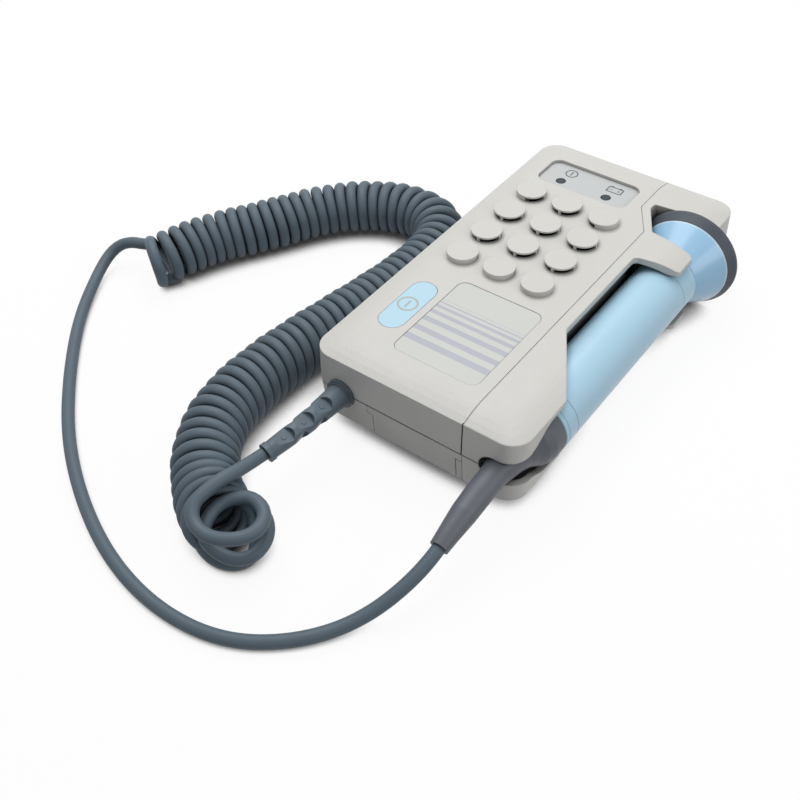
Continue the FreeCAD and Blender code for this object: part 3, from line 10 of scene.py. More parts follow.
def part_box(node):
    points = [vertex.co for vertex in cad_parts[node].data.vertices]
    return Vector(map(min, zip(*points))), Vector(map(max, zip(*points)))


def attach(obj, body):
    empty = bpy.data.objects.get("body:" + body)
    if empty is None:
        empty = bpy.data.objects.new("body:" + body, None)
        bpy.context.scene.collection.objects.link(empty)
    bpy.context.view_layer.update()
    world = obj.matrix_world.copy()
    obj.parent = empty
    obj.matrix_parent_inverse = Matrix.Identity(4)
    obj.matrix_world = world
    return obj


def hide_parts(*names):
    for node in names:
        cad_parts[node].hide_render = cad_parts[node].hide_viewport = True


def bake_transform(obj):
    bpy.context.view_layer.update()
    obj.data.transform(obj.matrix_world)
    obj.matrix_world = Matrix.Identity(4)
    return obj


bl_info = {
    "name": "Fetal Doppler Monitor",
    "version": (1, 0, 0),
    "blender": (4, 5, 0),
    "location": "View3D > Sidebar > Doppler",
    "description": "Finishes a pocket fetal doppler with its docked probe and curly cord",
    "category": "Add Mesh",
}

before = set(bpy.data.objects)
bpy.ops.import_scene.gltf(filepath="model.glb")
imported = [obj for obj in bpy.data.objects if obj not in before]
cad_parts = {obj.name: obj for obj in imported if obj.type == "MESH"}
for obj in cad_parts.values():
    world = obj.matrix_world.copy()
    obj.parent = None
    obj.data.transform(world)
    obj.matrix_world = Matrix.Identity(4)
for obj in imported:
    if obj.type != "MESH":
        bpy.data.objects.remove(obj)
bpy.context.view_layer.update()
MM = 0.001
CORNER = Vector((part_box("upper_shell")[0].x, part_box("upper_shell")[0].y, 0.0))

# Places below are in metres from the near left corner of the housing.
LEAD_ROUTE = (
    (0.0675, -0.0280, 0.0129), (0.0676, -0.0370, 0.0107), (0.0603, -0.0540, 0.0029),
    (0.0494, -0.0693, 0.0023), (0.0336, -0.0799, 0.0023), (0.0127, -0.0827, 0.0023),
    (-0.0101, -0.0786, 0.0023), (-0.0336, -0.0683, 0.0023), (-0.0563, -0.0537, 0.0023),
    (-0.0777, -0.0342, 0.0023), (-0.0965, -0.0134, 0.0023), (-0.1079, 0.0050, 0.0030),
    (-0.1112, 0.0146, 0.0054), (-0.1096, 0.0194, 0.0080), (-0.1056, 0.0218, 0.0096),
    (-0.1012, 0.0230, 0.0100), (-0.0976, 0.0254, 0.0094), (-0.0924, 0.0256, 0.0076),
    (-0.0876, 0.0246, 0.0050), (-0.0833, 0.0229, 0.0026),
)
COIL_ROUTE = (
    (-0.0897, 0.0176, 0.0095), (-0.0855, 0.0369, 0.0095), (-0.0720, 0.0570, 0.0095),
    (-0.0604, 0.0791, 0.0095), (-0.0449, 0.0930, 0.0095), (-0.0266, 0.0986, 0.0095),
    (-0.0131, 0.0904, 0.0095), (-0.0103, 0.0720, 0.0095), (-0.0120, 0.0520, 0.0097),
    (-0.0141, 0.0313, 0.0101), (-0.0175, 0.0116, 0.0103), (-0.0187, -0.0074, 0.0103),
    (-0.0170, -0.0244, 0.0103), (-0.0106, -0.0374, 0.0103), (-0.0020, -0.0464, 0.0102),
    (0.0055, -0.0516, 0.0098), (0.0115, -0.0540, 0.0090),
)
UNIT_END_LOOPS = (
    (0.0080, -0.0310, 0.0152), (0.0082, -0.0412, 0.0176), (0.0076, -0.0483, 0.0197),
    (0.0067, -0.0545, 0.0191), (0.0063, -0.0587, 0.0180), (0.0095, -0.0624, 0.0159),
    (0.0163, -0.0632, 0.0153), (0.0230, -0.0592, 0.0153), (0.0256, -0.0535, 0.0151),
    (0.0230, -0.0472, 0.0147), (0.0157, -0.0446, 0.0141), (0.0103, -0.0482, 0.0135),
    (0.0084, -0.0527, 0.0128), (0.0092, -0.0581, 0.0116), (0.0111, -0.0612, 0.0094),
    (0.0163, -0.0619, 0.0076), (0.0222, -0.0601, 0.0063), (0.0251, -0.0555, 0.0062),
    (0.0242, -0.0493, 0.0066), (0.0204, -0.0448, 0.0082), (0.0143, -0.0439, 0.0103),
    (0.0075, -0.0474, 0.0116), (0.0038, -0.0528, 0.0110), (0.0045, -0.0577, 0.0086),
    (0.0086, -0.0611, 0.0045), (0.0149, -0.0618, 0.0024), (0.0210, -0.0589, 0.0021),
    (0.0233, -0.0530, 0.0030),
)

# The coil starts open at the lead and closes up at the end loops. START_TURN and END_TURN are
# shares of a full turn, reaches run along the coil in metres, leans and swing are in degrees.
START_TURN = 0.80
END_TURN = 0.60
OPEN_REACH = 0.014
CLOSING_REACH = 0.016
LEAN, OPEN_LEAN, CLOSING_LEAN = 9, 6, 41
CLOSING_CURVE = 1.2
OPEN_SWING = 22
# Pitch as a share of the strand's thickness, and what opens or tightens it.
PITCH = 0.99
OPEN_GAP = 0.42
CLOSING_SQUEEZE = 0.25
TIGHTEST_CROWD = 0.3
# Height, rate per turn and shift of the waves that make the turns uneven.
UNEVEN = ((0.012, 1.7, 0.0), (0.010, 0.61, 1.0))
CORD_FACETS = 5

# Signs in millimetres from the same corner; INK is the thickness of the print in metres.
POWER_SIGN = (18.2, 124.0)
BUTTON_SIGN = (13.6, 31.6)
INK = 0.00004
LABEL_BANDS = ((20.0, 2.5), (24.8, 2.2), (29.5, 2.0), (33.3, 1.6), (36.3, 1.2), (38.3, 0.6),
               (39.8, 0.25))

# The camera's place and its right, up and back directions; the lamps stand in metres too.
CAMERA_PLACE = (0.125503, -0.242159, 0.245768)
CAMERA_AXES = ((0.80231018, 0.59656142, -0.0203186), (-0.41156301, 0.57752088, 0.70504292),
               (0.43233582, -0.55730073, 0.7088735))
KEY_PLACE, KEY_AIM, KEY_SIDE = (-0.20, 0.14, 0.57), (-0.03, 0, 0.02), 0.5
FILL_PLACE, FILL_AIM, FILL_SIDE = (0.55, 0.05, 0.30), (0, 0, 0.02), 0.3
FLOOR_GREY = (0.36, 0.36, 0.37, 1)
WHITE = (1, 1, 1, 1)
FLOOR_GLOW = 0.93
FLOOR_DROP = 0.0002


# ---- sizes and colours ------------------------------------------------------
def linear(code):
    """A web colour as the linear numbers that a shader takes."""
    parts = [int(code[i:i + 2], 16) / 255 for i in (0, 2, 4)]
    return tuple(c / 12.92 if c <= 0.04045 else ((c + 0.055) / 1.055) ** 2.4 for c in parts)


def length_setting(name, text, default):
    return FloatProperty(name=name, description=text, default=default, min=0.0, unit="LENGTH",
                         precision=5)


def colour_setting(name, text, code):
    return FloatVectorProperty(name=name, description=text, default=linear(code), size=3,
                               min=0.0, max=1.0, subtype="COLOR")


class DopplerSizes(bpy.types.PropertyGroup):
    strand: length_setting("Cord thickness", "Diameter of the cord", 0.0041)
    end_radius: length_setting("End loop radius", "Radius of the coil's last turn", 0.0092)
    coil_steps: IntProperty(name="Points per turn",
                            description="Route points in each turn of the coil", default=16,
                            min=12)
    edge: length_setting("Edge softness", "Radius that light sees along moulded edges", 0.00035)
    rolled_edge: length_setting("Rolled edge", "Radius that light sees along the holder's edges",
                                0.0008)
    print_line: length_setting("Print line", "Width of the lines of the printed signs", 0.00042)


class DopplerColours(bpy.types.PropertyGroup):
    housing: colour_setting("Housing", "Moulded housing and probe holder", "D2D0CA")
    probe: colour_setting("Probe", "Tube and rings of the probe", "B4D9EC")
    cone: colour_setting("Cone", "Wide end of the probe", "A6D3F2")
    # The pale line round the cone's wide end is a painted highlight.
    rim: colour_setting("Cone rim highlight", "Painted highlight round the wide end of the cone", "CBE4F3")
    button: colour_setting("Button", "Face of the power button", "B6D9E9")
    cord: colour_setting("Cord", "Curly cord and its straight ends", "5A6872")
    boot: colour_setting("Boot", "Boot of the probe", "5F636A")
    ring: colour_setting("Head ring", "Soft ring round the head of the probe", "454B55")
    label: colour_setting("Label", "Ground of the label", "CCCDC7")
    stripe: colour_setting("Stripe", "Printed stripes of the label", "B2B4BD")
    film: colour_setting("Display film", "Film over the two lamps", "C4C6C5")


class DopplerStage(bpy.types.PropertyGroup):
    lens: FloatProperty(name="Lens", description="Focal length of the camera", default=48.319,
                        unit="CAMERA")
    sky: FloatProperty(name="Sky", description="Strength of the light from all round", default=0.36)
    key: FloatProperty(name="Key light", description="Power of the large lamp high at the back",
                       default=2.7, unit="POWER")
    fill: FloatProperty(name="Fill light", description="Power of the lamp at the right",
                        default=0.75, unit="POWER")


def sizes():
    return bpy.context.scene.doppler_sizes


def colours():
    return bpy.context.scene.doppler_colours


# ---- meshes -----------------------------------------------------------------
def place(x, y, z):
    """Millimetres from the housing's near left corner, as a point of the frame."""
    return CORNER + Vector((x, y, z)) * MM


def routed(points):
    return [CORNER + Vector(point) for point in points]


def new_object(name, data):
    obj = bpy.data.objects.new(name, data)
    bpy.context.collection.objects.link(obj)
    return obj


def mesh_object(name, bm):
    bmesh.ops.recalc_face_normals(bm, faces=bm.faces)
    mesh = bpy.data.meshes.new(name)
    bm.to_mesh(mesh)
    bm.free()
    return new_object(name, mesh)


def finish_piece(obj, body, material):
    obj.data.materials.clear()
    obj.data.materials.append(material)
    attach(obj, body)


def dress(names, material):
    """Gives CAD nodes their finish; their shapes stay as they are."""
    for name in names:
        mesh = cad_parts[name].data
        mesh.materials.clear()
        mesh.materials.append(material)


# ---- shared effects of the finishes -----------------------------------------
def new_group(name, inputs, outputs):
    group = bpy.data.node_groups.new(name, "ShaderNodeTree")
    for socket, kind, value in inputs:
        made = group.interface.new_socket(socket, in_out="INPUT", socket_type=kind)
        made.default_value = value
    for socket, kind in outputs:
        group.interface.new_socket(socket, in_out="OUTPUT", socket_type=kind)
    start = group.nodes.new("NodeGroupInput")
    end = group.nodes.new("NodeGroupOutput")
    return group, start, end


def add(tree, kind, **values):
    node = tree.nodes.new(kind)
    for name, value in values.items():
        setattr(node, name, value)
    return node


def noise(tree, where, detail):
    node = add(tree, "ShaderNodeTexNoise")
    node.inputs["Detail"].default_value = detail
    tree.links.new(where, node.inputs["Vector"])
    return node


def calc(tree, operation, *terms):
    """Result of a math node; each term is a socket to read or a plain number."""
    node = add(tree, "ShaderNodeMath", operation=operation)
    for socket, term in zip(node.inputs, terms):
        if isinstance(term, bpy.types.NodeSocket):
            tree.links.new(term, socket)
        else:
            socket.default_value = term
    return node.outputs[0]


def ramp(tree, value, low, high, **values):
    """A map range node that takes low to 0 and high to 1."""
    node = add(tree, "ShaderNodeMapRange", **values)
    node.inputs["From Min"].default_value = low
    node.inputs["From Max"].default_value = high
    tree.links.new(value, node.inputs["Value"])
    return node


def open_sky(tree, reach, samples):
    """Share of the directions in which nothing stands within reach."""
    node = add(tree, "ShaderNodeAmbientOcclusion", samples=samples)
    node.inputs["Distance"].default_value = reach
    return node.outputs["AO"]


def moulded_relief_group():
    """Fine spark-eroded grain over a wide, faint waviness, with softened edges."""
    group = bpy.data.node_groups.get("Moulded Relief")
    if group:
        return group
    group, start, end = new_group("Moulded Relief", (
        ("Grain Scale", "NodeSocketFloat", 2400.0), ("Grain Depth", "NodeSocketFloat", 0.00002),
        ("Edge Radius", "NodeSocketFloat", 0.0003)), (("Normal", "NodeSocketVector"),))
    where = add(group, "ShaderNodeTexCoord").outputs["Object"]
    bevel = add(group, "ShaderNodeBevel", samples=6)
    group.links.new(start.outputs["Edge Radius"], bevel.inputs["Radius"])
    wave = noise(group, where, 1.0)
    wave.inputs["Scale"].default_value = 60.0
    sway = add(group, "ShaderNodeBump")
    sway.inputs["Strength"].default_value = 0.35
    sway.inputs["Distance"].default_value = 0.0002
    group.links.new(wave.outputs["Fac"], sway.inputs["Height"])
    group.links.new(bevel.outputs["Normal"], sway.inputs["Normal"])
    grain = noise(group, where, 4.0)
    group.links.new(start.outputs["Grain Scale"], grain.inputs["Scale"])
    bump = add(group, "ShaderNodeBump")
    bump.inputs["Strength"].default_value = 1.0
    group.links.new(start.outputs["Grain Depth"], bump.inputs["Distance"])
    group.links.new(grain.outputs["Fac"], bump.inputs["Height"])
    group.links.new(sway.outputs["Normal"], bump.inputs["Normal"])
    group.links.new(bump.outputs["Normal"], end.inputs["Normal"])
    return group


def tone_group():
    """A colour that drifts a little, paler along edges for wear and a painted highlight, with
    painted shade darkening corners and hollows.
    """
    group = bpy.data.node_groups.get("Tone With Wear And Painted Light")
    if group:
        return group
    group, start, end = new_group("Tone With Wear And Painted Light", (
        ("Colour", "NodeSocketColor", (0.5, 0.5, 0.5, 1.0)), ("Drift", "NodeSocketFloat", 0.04),
        ("Scale", "NodeSocketFloat", 45.0), ("Wear", "NodeSocketFloat", 0.25),
        ("Grime", "NodeSocketFloat", 0.25), ("Hollow", "NodeSocketFloat", 0.0)),
        (("Color", "NodeSocketColor"),))
    where = add(group, "ShaderNodeTexCoord").outputs["Object"]
    blot = noise(group, where, 5.0)
    group.links.new(start.outputs["Scale"], blot.inputs["Scale"])
    centred = calc(group, "SUBTRACT", blot.outputs["Fac"], 0.5)
    drift = calc(group, "MULTIPLY_ADD", centred, start.outputs["Drift"], 1.0)
    # edges: where the softened normal leaves the true one; paler there for wear and a painted
    # highlight
    bevel = add(group, "ShaderNodeBevel", samples=4)
    bevel.inputs["Radius"].default_value = 0.0005
    true = add(group, "ShaderNodeNewGeometry").outputs["Normal"]
    turn = add(group, "ShaderNodeVectorMath", operation="DOT_PRODUCT")
    group.links.new(bevel.outputs["Normal"], turn.inputs[0])
    group.links.new(true, turn.inputs[1])
    edge = ramp(group, turn.outputs["Value"], 1.0, 0.75).outputs["Result"]
    worn_highlight = calc(group, "MULTIPLY", edge, start.outputs["Wear"])
    # corners: painted shade where something stands within two millimetres
    sky_blocked = calc(group, "SUBTRACT", 1.0, open_sky(group, 0.002, 4))
    corner_shade = calc(group, "MULTIPLY", sky_blocked, start.outputs["Grime"])
    corner_shaded = calc(group, "SUBTRACT", drift, corner_shade)
    # deep hollows: painted shade where little of the sky is open within a centimetre
    buried = ramp(group, open_sky(group, 0.010, 6), 0.45, 0.12, interpolation_type="SMOOTHSTEP")
    shade = calc(group, "MULTIPLY", buried.outputs["Result"], start.outputs["Hollow"])
    level = calc(group, "MULTIPLY", corner_shaded, calc(group, "SUBTRACT", 1.0, shade))
    scaled = add(group, "ShaderNodeVectorMath", operation="SCALE")
    group.links.new(start.outputs["Colour"], scaled.inputs[0])
    group.links.new(level, scaled.inputs["Scale"])
    pale = add(group, "ShaderNodeMix", data_type="RGBA")
    pale.inputs["B"].default_value = (0.9, 0.9, 0.9, 1.0)
    group.links.new(worn_highlight, pale.inputs["Factor"])
    group.links.new(scaled.outputs["Vector"], pale.inputs["A"])
    group.links.new(pale.outputs["Result"], end.inputs["Color"])
    return group


def polish_group():
    """Roughness that changes softly, as handled plastic does."""
    group = bpy.data.node_groups.get("Handled Polish")
    if group:
        return group
    group, start, end = new_group("Handled Polish", (
        ("Low", "NodeSocketFloat", 0.4), ("High", "NodeSocketFloat", 0.55),
        ("Scale", "NodeSocketFloat", 90.0)), (("Roughness", "NodeSocketFloat"),))
    where = add(group, "ShaderNodeTexCoord").outputs["Object"]
    smear = noise(group, where, 6.0)
    group.links.new(start.outputs["Scale"], smear.inputs["Scale"])
    spread = ramp(group, smear.outputs["Fac"], 0.3, 0.7)
    group.links.new(start.outputs["Low"], spread.inputs["To Min"])
    group.links.new(start.outputs["High"], spread.inputs["To Max"])
    group.links.new(spread.outputs["Result"], end.inputs["Roughness"])
    return group


def put_group(material, group, **values):
    node = add(material.node_tree, "ShaderNodeGroup")
    node.node_tree = group
    for name, value in values.items():
        node.inputs[name.replace("_", " ")].default_value = value
    return node


def surface(name, colour, rough=(0.45, 0.6), grain=(2400.0, 0.00002), edge=0.0003, drift=0.04,
            scale=45.0, wear_and_highlight=0.0, corner_shade=0.2, hollow=0.0, **sockets):
    """A finish with drifting colour, painted shade and highlight, handled roughness, grain and soft
    edges.

    rough is (low, high), grain is (scale, depth in metres), and edge is a radius in metres.
    """
    material = bpy.data.materials.new(name)
    material.use_nodes = True
    tree = material.node_tree
    shader = tree.nodes["Principled BSDF"]
    for socket, value in sockets.items():
        shader.inputs[socket.replace("_", " ")].default_value = value
    tone = put_group(material, tone_group(), Drift=drift, Scale=scale, Wear=wear_and_highlight, Grime=corner_shade,
                     Hollow=hollow)
    tone.inputs["Colour"].default_value = (*colour, 1.0)
    tone.name = "Tone"
    tree.links.new(tone.outputs["Color"], shader.inputs["Base Color"])
    polish = put_group(material, polish_group(), Low=rough[0], High=rough[1])
    tree.links.new(polish.outputs["Roughness"], shader.inputs["Roughness"])
    relief = put_group(material, moulded_relief_group(), Grain_Scale=grain[0],
                       Grain_Depth=grain[1], Edge_Radius=edge)
    tree.links.new(relief.outputs["Normal"], shader.inputs["Normal"])
    return material


def depth_stripes(tree, low_y, high_y, bands):
    """1 inside the bands of Y, 0 between them; bands are (middle, width) in millimetres."""
    where = add(tree, "ShaderNodeTexCoord").outputs["Object"]
    split = add(tree, "ShaderNodeSeparateXYZ")
    tree.links.new(where, split.inputs[0])
    share = ramp(tree, split.outputs["Y"], CORNER.y + low_y * MM, CORNER.y + high_y * MM)
    steps = add(tree, "ShaderNodeValToRGB")
    steps.color_ramp.interpolation = "CONSTANT"
    steps.color_ramp.elements[0].color = (0, 0, 0, 1)
    steps.color_ramp.elements.remove(steps.color_ramp.elements[1])
    for middle, width in bands:
        for edge, value in ((middle - width / 2, 1.0), (middle + width / 2, 0.0)):
            stop = steps.color_ramp.elements.new((edge - low_y) / (high_y - low_y))
            stop.color = (value, value, value, 1)
    tree.links.new(share.outputs["Result"], steps.inputs["Fac"])
    return steps.outputs["Color"]


def band_colours(material, stripes, ground, mark):
    """Feeds a finish with one colour on the stripes and another between them."""
    tree = material.node_tree
    mix = add(tree, "ShaderNodeMix", data_type="RGBA")
    mix.inputs["A"].default_value = (*ground, 1)
    mix.inputs["B"].default_value = (*mark, 1)
    tree.links.new(stripes, mix.inputs["Factor"])
    tree.links.new(mix.outputs["Result"], tree.nodes["Tone"].inputs["Colour"])


# ---- cord -------------------------------------------------------------------
def cord_curve(name, points, steps):
    data = bpy.data.curves.new(name, "CURVE")
    data.dimensions = "3D"
    data.resolution_u = steps
    spline = data.splines.new("NURBS")
    spline.points.add(len(points) - 1)
    for knot, point in zip(spline.points, points):
        knot.co = (*point, 1.0)
    spline.order_u = 3
    spline.use_endpoint_u = True
    return new_object(name, data)


def drop_curve(obj):
    data = obj.data
    bpy.data.objects.remove(obj)
    bpy.data.curves.remove(data)


def curve_mesh(obj):
    bpy.context.view_layer.update()
    return bpy.data.meshes.new_from_object(obj.evaluated_get(bpy.context.evaluated_depsgraph_get()))


def line_of(obj):
    """Places along a curve that has no thickness yet."""
    mesh = curve_mesh(obj)
    line = [vertex.co.copy() for vertex in mesh.vertices]
    bpy.data.meshes.remove(mesh)
    return line


def cord_tube(name, points, steps):
    """A closed tube along a smooth curve, with the line that it follows."""
    curve = cord_curve(name + "_line", points, steps)
    line = line_of(curve)
    curve.data.bevel_depth = sizes().strand / 2
    curve.data.bevel_resolution = CORD_FACETS
    curve.data.use_fill_caps = True
    mesh = curve_mesh(curve)
    mesh.name = name
    mesh.shade_smooth()
    mesh.set_sharp_from_angle(angle=math.radians(60))
    drop_curve(curve)
    return new_object(name, mesh), line


def level_frames(line):
    """Distance, place, side and heading for each point of a line, with the last two level."""
    frames = []
    run = 0.0
    for index, point in enumerate(line):
        before = line[max(index - 1, 0)]
        after = line[min(index + 1, len(line) - 1)]
        ahead = Vector((after.x - before.x, after.y - before.y, 0.0)).normalized()
        run += (point - before).length
        frames.append((run, point, ahead.cross(Vector((0, 0, 1))), ahead))
    return frames


def bend_at(frames, index, reach=4):
    """How sharply the line bends round one of its points."""
    a = frames[max(index - reach, 0)]
    b = frames[min(index + reach, len(frames) - 1)]
    return a[3].angle(b[3]) / max(b[0] - a[0], 1e-6)


def frame_at(frames, distance, index):
    while index < len(frames) - 2 and frames[index + 1][0] < distance:
        index += 1
    a, b = frames[index], frames[index + 1]
    share = (distance - a[0]) / max(b[0] - a[0], 1e-9)
    share = min(max(share, 0.0), 1.0)
    return [p.lerp(q, share) for p, q in zip(a[1:4], b[1:4])], index


def helix_turns(frames, spread):
    """Leaning turns that rest on the floor: loose at the start, flatter and wider at the end."""
    size = sizes()
    total = frames[-1][0]
    # a curve of this order runs inside its control points, so they stand this much farther out
    outside = 1 / (0.75 + 0.25 * math.cos(2 * math.pi / size.coil_steps))
    points = []
    distance = 0.0
    index = 0
    turn = START_TURN
    while distance < total:
        (centre, side, ahead), index = frame_at(frames, distance, index)
        loose = max(0.0, 1 - distance / OPEN_REACH)
        ending = max(0.0, 1 - (total - distance) / CLOSING_REACH)
        radius = (centre.z - size.strand / 2) * (1 - ending) + size.end_radius * ending
        radius *= 1 + sum(high * math.sin(turn * rate + shift) for high, rate, shift in UNEVEN)
        lean = math.radians(LEAN + OPEN_LEAN * loose + CLOSING_LEAN * ending ** CLOSING_CURVE)
        top = Vector((0, 0, 1)) * math.cos(lean) - ahead * math.sin(lean)
        swing = math.radians(OPEN_SWING) * loose ** 2
        out = side * math.cos(swing) - ahead * math.sin(swing)
        angle = 2 * math.pi * turn
        around = out * math.cos(angle) + top * math.sin(angle)
        points.append(centre + around * radius * outside)
        crowd = min(bend_at(frames, index) * size.strand, TIGHTEST_CROWD)
        pitch = size.strand * PITCH / (1 - crowd)
        pitch *= (1 + OPEN_GAP * loose) * (1 - CLOSING_SQUEEZE * ending)
        distance += pitch * spread / size.coil_steps
        turn += 1 / size.coil_steps
    return points, turn


def coil_helix():
    """Left-handed turns round the coil's route, spread so that the last meets the end loops."""
    route = cord_curve("coil_route", routed(COIL_ROUTE), steps=12)
    frames = level_frames(line_of(route))
    drop_curve(route)
    last = helix_turns(frames, 1.0)[1]
    spread = (last - START_TURN) / (math.floor(last) + END_TURN - START_TURN)
    return helix_turns(frames, spread)[0]


def cord_points():
    """Route points of the lead and of the coil, which meet inside the first turn."""
    helix = coil_helix()
    join = (helix[1] + helix[2]) / 2
    lead = routed(LEAD_ROUTE) + helix[:2] + [join]
    coil = routed(UNIT_END_LOOPS) + helix[:1:-1] + [join]
    return lead, coil


class DopplerProbeLead(bpy.types.Operator):
    """Long straight end of the cord, from the probe's boot to the first turn of the coil"""
    bl_idname = "doppler.probe_lead"
    bl_label = "Probe Lead"

    def execute(self, context):
        lead, line = cord_tube("probe_lead", cord_points()[0], steps=12)
        finish_piece(lead, "unit", cord_finish())
        lead.parent = None
        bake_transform(lead)
        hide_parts("cord_probe_end")
        return {"FINISHED"}


class DopplerCurlyCord(bpy.types.Operator):
    """Coil of the cord, its end loops and the short end at the unit"""
    bl_idname = "doppler.curly_cord"
    bl_label = "Curly Cord"

    def execute(self, context):
        coil, line = cord_tube("curly_cord", cord_points()[1], steps=4)
        finish_piece(coil, "unit", cord_finish())
        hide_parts("curly_coil", "cord_unit_end")
        return {"FINISHED"}


def cord_finish():
    found = bpy.data.materials.get("Cord Rubber")
    if found:
        return found
    # The cord's finish paints shade into the valleys between its turns.
    return surface("Cord Rubber", colours().cord, rough=(0.5, 0.62), grain=(3000.0, 0.00001),
                   edge=0.0, drift=0.1, scale=70.0, corner_shade=0.6, hollow=0.9,
                   Specular_IOR_Level=0.4)


# ---- moulded pieces ---------------------------------------------------------
class DopplerHousing(bpy.types.Operator):
    """Finish of the shells, the probe holder, the battery door, the clip and the screws"""
    bl_idname = "doppler.housing"
    bl_label = "Housing"

    def execute(self, context):
        edge = sizes().edge
        # The shells and the holder paint shade into their corners and deep pockets.
        housing = surface("Housing Plastic", colours().housing, rough=(0.42, 0.55),
                          grain=(1500.0, 0.00008), edge=edge, drift=0.03, wear_and_highlight=0.30, corner_shade=0.35,
                          hollow=0.95)
        dress(("upper_shell", "lower_shell"), housing)
        # The holder's edges are paled more, for wear and a painted highlight along its rolled rims.
        holder = surface("Holder Plastic", colours().housing, rough=(0.40, 0.52),
                         grain=(1500.0, 0.00008), edge=sizes().rolled_edge, drift=0.03, wear_and_highlight=0.45,
                         corner_shade=0.35, hollow=0.95)
        dress(("holder_upper", "holder_lower"), holder)
        door = surface("Door Plastic", colours().housing, rough=(0.45, 0.58),
                       grain=(1500.0, 0.000035), edge=edge, drift=0.03, scale=30.0, wear_and_highlight=0.10,
                       corner_shade=0.30)
        dress(("battery_door",), door)
        # The clip's dark grey is painted shade for its place under the housing and probe.
        clip = surface("Clip Plastic", linear("74777A"), rough=(0.35, 0.5),
                       grain=(1800.0, 0.00002), edge=edge, wear_and_highlight=0.15)
        dress(("pocket_clip",), clip)
        screw = surface("Screw Steel", linear("9A9C9E"), rough=(0.25, 0.4), edge=0.0001,
                        grain=(5000.0, 0.000004), Metallic=1.0)
        dress(("case_screws", "clip_screws"), screw)
        return {"FINISHED"}


class DopplerLabel(bpy.types.Operator):
    """Printed label: a plain ground with stripes that widen towards the near end"""
    bl_idname = "doppler.label"
    bl_label = "Label"

    def execute(self, context):
        material = surface("Label Film", colours().label, rough=(0.38, 0.46),
                           grain=(900.0, 0.000006), edge=0.00012, drift=0.015, corner_shade=0.15)
        stripes = depth_stripes(material.node_tree, 12.0, 52.0, LABEL_BANDS)
        band_colours(material, stripes, colours().label, colours().stripe)
        dress(("label_plate",), material)
        return {"FINISHED"}


def ring_print(name, centre, radius, width, z):
    """A thin printed ring, in millimetres."""
    bm = bmesh.new()
    bmesh.ops.create_circle(bm, segments=48, radius=(radius - width / 2) * MM)
    bmesh.ops.create_circle(bm, segments=48, radius=(radius + width / 2) * MM)
    bmesh.ops.bridge_loops(bm, edges=bm.edges[:])
    thick = bmesh.ops.extrude_face_region(bm, geom=bm.faces[:])
    risen = [v for v in thick["geom"] if isinstance(v, bmesh.types.BMVert)]
    bmesh.ops.translate(bm, vec=(0, 0, INK), verts=risen)
    bmesh.ops.translate(bm, vec=place(*centre, z), verts=bm.verts)
    return mesh_object(name, bm)


def line_print(name, bars, z):
    """Thin printed bars, each between two corners in millimetres."""
    bm = bmesh.new()
    for low, high in bars:
        middle = place((low[0] + high[0]) / 2, (low[1] + high[1]) / 2, z)
        made = bmesh.ops.create_cube(bm, size=1.0)["verts"]
        size = Vector(((high[0] - low[0]) * MM, (high[1] - low[1]) * MM, INK))
        bmesh.ops.scale(bm, vec=size, verts=made)
        bmesh.ops.translate(bm, vec=middle + Vector((0, 0, INK / 2)), verts=made)
    return mesh_object(name, bm)


class DopplerDisplay(bpy.types.Operator):
    """Film over the lamps, the two lamps and the two printed signs"""
    bl_idname = "doppler.display"
    bl_label = "Display"

    def execute(self, context):
        film = surface("Display Film", colours().film, rough=(0.28, 0.36), grain=(700.0, 0.000004),
                       edge=0.0001, drift=0.02, corner_shade=0.2, Coat_Weight=0.25, Coat_Roughness=0.25)
        dress(("display_panel",), film)
        lens = surface("Lamp Lens", linear("3A444A"), rough=(0.45, 0.6), grain=(2000.0, 0.00002),
                       edge=0.0, Specular_IOR_Level=0.25)
        dress(("led_power", "led_battery"), lens)
        ink = surface("Sign Ink", linear("585E63"), rough=(0.5, 0.6), grain=(3000.0, 0.000002),
                      edge=0.0, corner_shade=0.0)
        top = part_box("display_panel")[1].z / MM
        line = sizes().print_line / MM
        half = line / 2
        finish_piece(ring_print("power_sign_ring", POWER_SIGN, 2.1, line, top), "unit",
                     ink)
        x, y = POWER_SIGN
        bar = [((x - half, y - 1.2), (x + half, y + 1.2))]
        finish_piece(line_print("power_sign_bar", bar, top), "unit", ink)
        left, right, near, far = 33.0, 38.4, 122.0, 125.0
        case = [
            ((left, near - half), (right, near + half)), ((left, far - half), (right, far + half)),
            ((left - half, near), (left + half, far)), ((right - half, near), (right + half, far)),
        ]
        poles = [((left + 0.7, far), (left + 1.5, far + 0.55)),
                 ((right - 1.5, far), (right - 0.7, far + 0.55))]
        minus = [((left + 0.8, 123.4), (left + 1.7, 123.62))]
        plus = [((right - 1.7, 123.4), (right - 0.8, 123.62)),
                ((right - 1.36, 123.06), (right - 1.14, 123.96))]
        bars = case + poles + minus + plus
        finish_piece(line_print("battery_sign", bars, top), "unit", ink)
        return {"FINISHED"}


class DopplerPowerButton(bpy.types.Operator):
    """Pale blue power button with its printed sign, and the switch under it"""
    bl_idname = "doppler.power_button"
    bl_label = "Power Button"

    def execute(self, context):
        face = surface("Button Plastic", colours().button, rough=(0.32, 0.42),
                       grain=(1800.0, 0.00001), edge=0.0002, drift=0.02, corner_shade=0.2)
        dress(("power_button",), face)
        ink = surface("Button Ink", linear("B4B5AA"), rough=(0.45, 0.55), grain=(3000.0, 0.000002),
                      edge=0.0, corner_shade=0.0)
        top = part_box("power_button")[1].z / MM
        finish_piece(ring_print("button_sign_ring", BUTTON_SIGN, 3.1, 0.62, top), "power_button",
                     ink)
        x, y = BUTTON_SIGN
        bar = [((x - 0.3, y - 1.7), (x + 0.3, y + 1.7))]
        finish_piece(line_print("button_sign_bar", bar, top), "power_button", ink)
        dark = surface("Switch Plastic", linear("2B2D30"), rough=(0.4, 0.5))
        dress(("button_switch", "battery_contacts", "headphone_socket"), dark)
        return {"FINISHED"}


